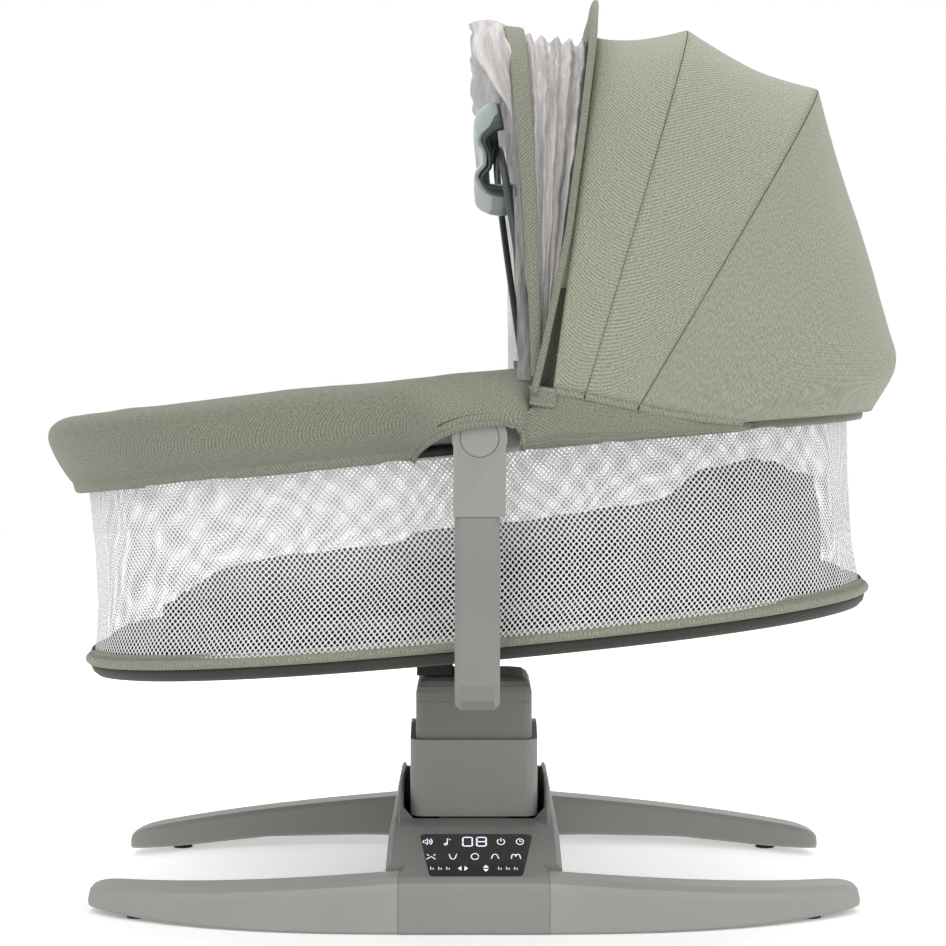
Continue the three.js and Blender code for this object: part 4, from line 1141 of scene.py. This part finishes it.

# The facing between the visor strip and the front panel, which shows as a deep fold near the foot; near each
# foot it takes the darker twill as painted shade in that fold.
facing = Cloth("visor_facing", sage, sage_painted_shade)
facing_rows = []
for turn in visor_turns:
    row = []
    for k in range(7):
        t = k / 6
        dip = -0.6 - 8 * math.sin(PI * t) * visor_droop(turn)
        row.append(seam_point(FRONT_SEAM, turn, dip, lerp(visor_shift(turn) - 3, 1.5, t)))
    facing_rows.append(row)
fold_shade_share = 0.19
low = int(len(facing_rows) * fold_shade_share / 2)
facing.grid(facing_rows[low:-low])
# The rows at each foot take the darker twill: painted shade in the fold.
facing.grid(facing_rows[:low + 1], slot=1)
facing.grid(facing_rows[-low - 1:], slot=1)
visor_facing = put(facing.build(thickness=0.0008), "canopy_front", slot="sage_fabric_dark")

tabs = Cloth("visor_end_tabs", sage_rim, thread)
for side in (-1, 1):
    turn = visor_turns[0 if side < 0 else -1]
    tab = []
    for i in range(9):
        row = []
        for j in range(9):
            along = -19 + 23 * j / 8
            drop = -17 * i / 8
            bulge = 2.4 * math.sin(PI * i / 8) * math.sin(PI * j / 8)
            foot = seam_point(FRONT_SEAM, turn, 1.4 + bulge, along)
            row.append(foot + Vector((0, 0, drop / 1000 + 0.006)))
        tab.append(row)
    tabs.grid(tab)
    for line in (tab[1], tab[-2]):
        tabs.stitches(line, [Vector((0, side, 0))] * 9, 1)
visor_tabs = put(tabs.build(thickness=0.0016), "canopy_front", slot="sage_fabric")


# ---- insect net: crinkled gauze drawn back over the front edge, with a cloth band along it ----
def band_reach(rise):
    return 5 + 60 * rise ** 1.2


def net_row(turn, count, start, end, pleats, depth, seed, lift=0.0):
    """Points from start to end, as shares of the way forward to the band; beyond 1 is past the band."""
    rise = front_rise(turn)
    row = []
    for j in range(count + 1):
        t = lerp(start, end, j / count)
        reach = band_reach(rise) * t
        if t > 1:
            reach = band_reach(rise) + 17 + (t - 1) * 60 * max(rise - 0.5, 0)
        gather = math.sin(t * pleats * 2 * PI + wrinkle((turn * 2.2, t, seed), 1, 2.4))
        rough = wrinkle((turn * 9, t * 3, seed), 1.3, 3.0)
        out = lift + depth * gather * (0.35 + 0.65 * rise) + rough * rise
        here = seam_point(FRONT_SEAM, turn, out - 7, -8 - reach)
        row.append(here + Vector((wrinkle((turn * 14, t * 5, seed + 2), 1, 0.002), 0, 0)))
    return row


net = Cloth("insect_net_cloth", net_cloth)
net_turns = seam_turns(FRONT_SEAM, 150, 22)
net.grid([net_row(turn, 84, 0.0, 1.04, 5, 3.4, 1) for turn in net_turns])
net.grid([net_row(turn, 60, 0.05, 1.0, 4, 2.6, 6, lift=-5) for turn in net_turns])
bunch_turns = [turn for turn in net_turns if front_rise(turn) > 0.70]
bunch = []
for i, turn in enumerate(bunch_turns):
    rise = front_rise(turn)
    full = smoothstep(0.70, 0.9, rise)
    row = []
    for k in range(36):
        a = 2 * PI * k / 36
        lump = 1 + 0.32 * noise.noise(Vector((turn * 9, math.cos(a) * 1.2, math.sin(a) * 1.2)))
        across = -14 - 13 * math.cos(a) * lump * full
        reach = band_reach(rise) + 15 + 14 * full + 17 * math.sin(a) * lump * full
        out = -across * 0.35 - 8 - 12 * math.cos(a) * full * lump
        row.append(seam_point(FRONT_SEAM, turn, out, -8 - reach))
    bunch.append(row)
net.grid(bunch, loop_cols=True)
insect_net = put(net.build(), "canopy_front", "insect_net", slot="gauze")

band = Cloth("net_band", sage_rim, thread)
band_rows = []
for turn in seam_turns(FRONT_SEAM, 130, 26):
    rise = front_rise(turn)
    ring = []
    for k in range(16):
        a = 2 * PI * k / 16
        across = signed_power(math.cos(a), 0.6) * (4 + 5.5 * rise)
        thick = 2.1 * math.sin(a) + wrinkle((turn * 5, math.cos(a), 3), 1, 0.9)
        ring.append(seam_point(FRONT_SEAM, turn, thick - 1, -8 - band_reach(rise) - 6 * rise - across))
    band_rows.append(ring)
band.grid(band_rows, loop_cols=True)
net_band = put(band.build(), "canopy_front", slot="sage_fabric")


# ---- toy bar: an arch with a wide moulded bridge ----
TOY_HALF = RIM_WIDTH - 10
TOY_SEAM = (55, 64, 44, 274, TOY_HALF, 3.4, 0)
arch = Cloth("toy_arch_tube", teal_dark)
arch.tube([seam_point(TOY_SEAM, turn) for turn in seam_turns(TOY_SEAM, 90, 3)], 0.0036, sides=14)
for side in (-1, 1):
    eye = [world_point(55, side * y, 64) for y in (TOY_HALF - 4, TOY_HALF - 3, TOY_HALF + 3, TOY_HALF + 4)]
    arch.tube(eye, lambda t: 0.0072 if 0.1 < t < 0.9 else 0.0064, sides=24, up=Vector((0, 0, 1)))
put(arch.build(), "toy_bar", "toy_bar_arch", slot="teal")

# The bridge's section, as (along, out) from the arch.
BRIDGE = [(4, 44), (-6, 42), (-16, 33), (-18, 22), (-15, 12), (-16, -8), (-23, -18), (-25, -28),
          (-20, -38), (-6, -43), (6, -42)]


def bridge_grid(inset, start, end, first=0.0, last=1.0):
    rows = []
    for i in range(61):
        turn = lerp(start, end, i / 60)
        fade = 1 - 0.35 * (2 * i / 60 - 1) ** 6
        row = []
        for k in range(29):
            along, out = spline(BRIDGE, lerp(first, last, k / 28))
            wave = 1.6 * math.sin(k / 28 * 9 + 1)
            row.append(seam_point(TOY_SEAM, turn, out * fade - inset * 0.4 + wave * 0.4, along + inset))
        rows.append(row)
    return rows


bridge = Cloth("toy_bridge_shell", teal)
bridge.grid(bridge_grid(0, 1.10, PI - 1.10))
bridge_piece = bridge.build(thickness=0.0042, offset=0)
round_edges = bridge_piece.modifiers.new("edges", "BEVEL")
round_edges.width = 0.0014
round_edges.segments = 3
round_edges.limit_method = "ANGLE"
round_edges.angle_limit = math.radians(50)
put(bridge_piece, "toy_bar", "toy_bar_bridge", slot="teal")
back = Cloth("toy_bridge_back", teal_dark)
back.grid(bridge_grid(4.6, 1.07, PI - 1.07, 0.02, 1.0))
put(back.build(thickness=0.004, offset=0), "toy_bar", slot="teal")


# ---- control panel: dark glass with lit symbols ----
glass = Shader("panel_glass")
smudge = glass.ramp(glass.noise(26, 4, 0.6), 0.45, 0.8, 0.08, 0.22)
glass_tone = glass.mix(glass.noise(60, 2), (18, 18, 20), (26, 26, 29))
glass.set(Base_Color=glass_tone, Roughness=smudge, Specular_IOR_Level=0.5, Coat_Weight=0.35)
lit = Shader("lit_marks")
glow = lit.ramp(lit.noise(400, 2), 0.2, 0.8, 0.85, 1.1)
lit_tone = lit.mix(0.5, (215, 212, 232), (235, 233, 245))
lit_glow = lit.mix(glow, (180, 172, 214), (226, 222, 246))
lit.set(Base_Color=lit_tone, Emission_Color=lit_glow, Emission_Strength=0.9, Roughness=0.5)
polish("control_panel", glass.material, 0.0007, 3)
board_green = plastic("board_green", (62, 104, 74), 0.4, 0.5)
polish("circuit_board", board_green, 0.0002, 1)

PANEL_SLOPE = math.atan(0.2)
PANEL_NEAR_Y = -229
PANEL_NEAR_Z = 72 - 119 * 0.2 - 2.6
MARK_LIFT = 2.86


def panel_at(x, y, lift):
    """A point lift mm off the glass's lower side, x mm to the right and y mm up its slope."""
    c = math.cos(PANEL_SLOPE)
    s = math.sin(PANEL_SLOPE)
    return Vector((2 + x, PANEL_NEAR_Y + y * c - lift * s, PANEL_NEAR_Z + y * s + lift * c)) / 1000


marks = Cloth("panel_marks", lit.material)


def stroke(points, width=0.9, closed=False):
    """A lit ribbon on the glass through points of (right, up the slope), in mm, wider up the slope."""
    line = [Vector((x, y)) for x, y in points]
    rows = []
    for i, p in enumerate(line):
        ahead = line[(i + 1) % len(line)] if closed or i < len(line) - 1 else p
        behind = line[i - 1] if closed or i else p
        way = (ahead - behind).normalized()
        aside = Vector((-way.y, way.x)) * width / 2
        aside.y *= 1.7
        rows.append([panel_at(*(p + aside), MARK_LIFT), panel_at(*(p - aside), MARK_LIFT)])
    marks.grid(rows, loop_rows=closed)


def curve_points(x, y, rx, ry, start, end, count=16):
    turns = [math.radians(lerp(start, end, i / count)) for i in range(count + 1)]
    return [(x + rx * math.cos(t), y + ry * math.sin(t)) for t in turns]


def digit(x, y, lit_bars, wide=4.4, high=10.5):
    bars = {"top": ((-1, 1), (1, 1)), "middle": ((-1, 0), (1, 0)), "low": ((-1, -1), (1, -1)),
            "upper_left": ((-1, 1), (-1, 0)), "upper_right": ((1, 1), (1, 0)),
            "lower_left": ((-1, 0), (-1, -1)), "lower_right": ((1, 0), (1, -1))}
    for name in lit_bars:
        (ax, ay), (bx, by) = bars[name]
        start = Vector((x + ax * wide, y + ay * high))
        end = Vector((x + bx * wide, y + by * high))
        trim = (end - start) * 0.07
        stroke([start + trim, end - trim], 1.4)


ROW_1 = 86
ROW_2 = 50.5
ROW_3 = 23
stroke([(-49.4, ROW_1 - 2.6), (-47.8, ROW_1 - 2.6), (-45.6, ROW_1 - 7), (-45.6, ROW_1 + 7),
        (-47.8, ROW_1 + 2.6), (-49.4, ROW_1 + 2.6)], 0.9, True)
stroke(curve_points(-45.8, ROW_1, 2.6, 5.2, -50, 50))
stroke(curve_points(-45.8, ROW_1, 4.6, 9.0, -50, 50))
stroke([(-27, ROW_1 - 6), (-27, ROW_1 + 8), (-24, ROW_1 + 4)])
stroke(curve_points(-28.4, ROW_1 - 6, 1.4, 2.2, 0, 330), 0.9)
digit(-8, ROW_1, ("top", "low", "upper_left", "upper_right", "lower_left", "lower_right"))
digit(5, ROW_1, ("top", "low", "middle", "upper_left", "upper_right", "lower_left", "lower_right"))
stroke(curve_points(23.3, ROW_1, 3.4, 7, 125, 415, 24))
stroke([(23.3, ROW_1 + 1), (23.3, ROW_1 + 9)])
stroke(curve_points(41.1, ROW_1, 3.4, 7, 0, 345, 24), 0.9)
stroke([(43.2, ROW_1), (41.1, ROW_1), (41.1, ROW_1 + 4)], 0.8)
stroke([(-45.6, ROW_2 - 6.5), (-41.4, ROW_2), (-37.4, ROW_2 - 6.5)])
stroke([(-45.6, ROW_2 + 5), (-43.6, ROW_2 + 2.4)])
stroke([(-37.4, ROW_2 + 5), (-39.4, ROW_2 + 2.4)])
stroke([(-25, ROW_2 + 6)] + curve_points(-21.4, ROW_2, 2.6, 6, 180, 360) + [(-17.8, ROW_2 + 6)])
stroke(curve_points(-1.1, ROW_2, 3.4, 7, 0, 340, 24))
stroke([(13.8, ROW_2 - 5)] + curve_points(17.4, ROW_2 - 1, 2.6, 6.4, 180, 0) + [(21, ROW_2 - 5)])
stroke([(32.4, ROW_2 - 5)] + curve_points(34.6, ROW_2, 1.9, 5.4, 180, 0, 8)
       + curve_points(38.6, ROW_2, 1.9, 5.4, 180, 0, 8) + [(41, ROW_2 - 5)])
for x in (-40.2, -32.9, -25.6, 21.6, 28.9, 36.2):
    stroke([(x - 1.2, ROW_3 - 3.2), (x - 1.2, ROW_3 + 3.2)], 0.8)
    stroke([(x + 1.1, ROW_3 - 3.2), (x + 1.1, ROW_3 + 1)], 0.7)


def arrow(*corners):
    """A lit wedge of four corners: the two ends of its wide side, then the two of its tip."""
    a, b, c, d = [panel_at(x, ROW_3 + y, MARK_LIFT) for x, y in corners]
    marks.grid([[a, b], [c, d]])


for side in (-1, 1):
    near = -12 + side * 1.4
    tip = -12 + side * 4.6
    arrow((near, -5.4), (near, 5.4), (tip, -0.1), (tip, 0.1))
    arrow((8.9 - 2.6, side * 1.6), (8.9 + 2.6, side * 1.6), (8.9 - 0.1, side * 7.6), (8.9 + 0.1, side * 7.6))
put(marks.build(thickness=0.00006, offset=0), "base", slot="black_panel")


# ---- floor ----
floor = in_scene("floor", bpy.data.meshes.new("floor"))
bm = bmesh.new()
bmesh.ops.create_grid(bm, x_segments=8, y_segments=8, size=6)
bm.to_mesh(floor.data)
bm.free()
paper = Shader("paper")
ground = paper.node("ShaderNodeSeparateXYZ")
paper.link(paper.place.outputs["Object"], ground.inputs[0])
# The floor glows more the farther back it lies, from nothing at the front to 0.42 at the back: painted light
# that fades it into the white backdrop.
lift = paper.ramp(ground.outputs[1], -0.55, 0.25, 0.0, 0.42)
paper.set(Base_Color=paper.mix(paper.noise(3, 2), (246, 246, 246), (250, 250, 250)), Roughness=0.85,
          Emission_Color=paper.mix(0.5, (255, 255, 255), (255, 255, 255)), Emission_Strength=lift)
floor.data.materials.append(paper.material)
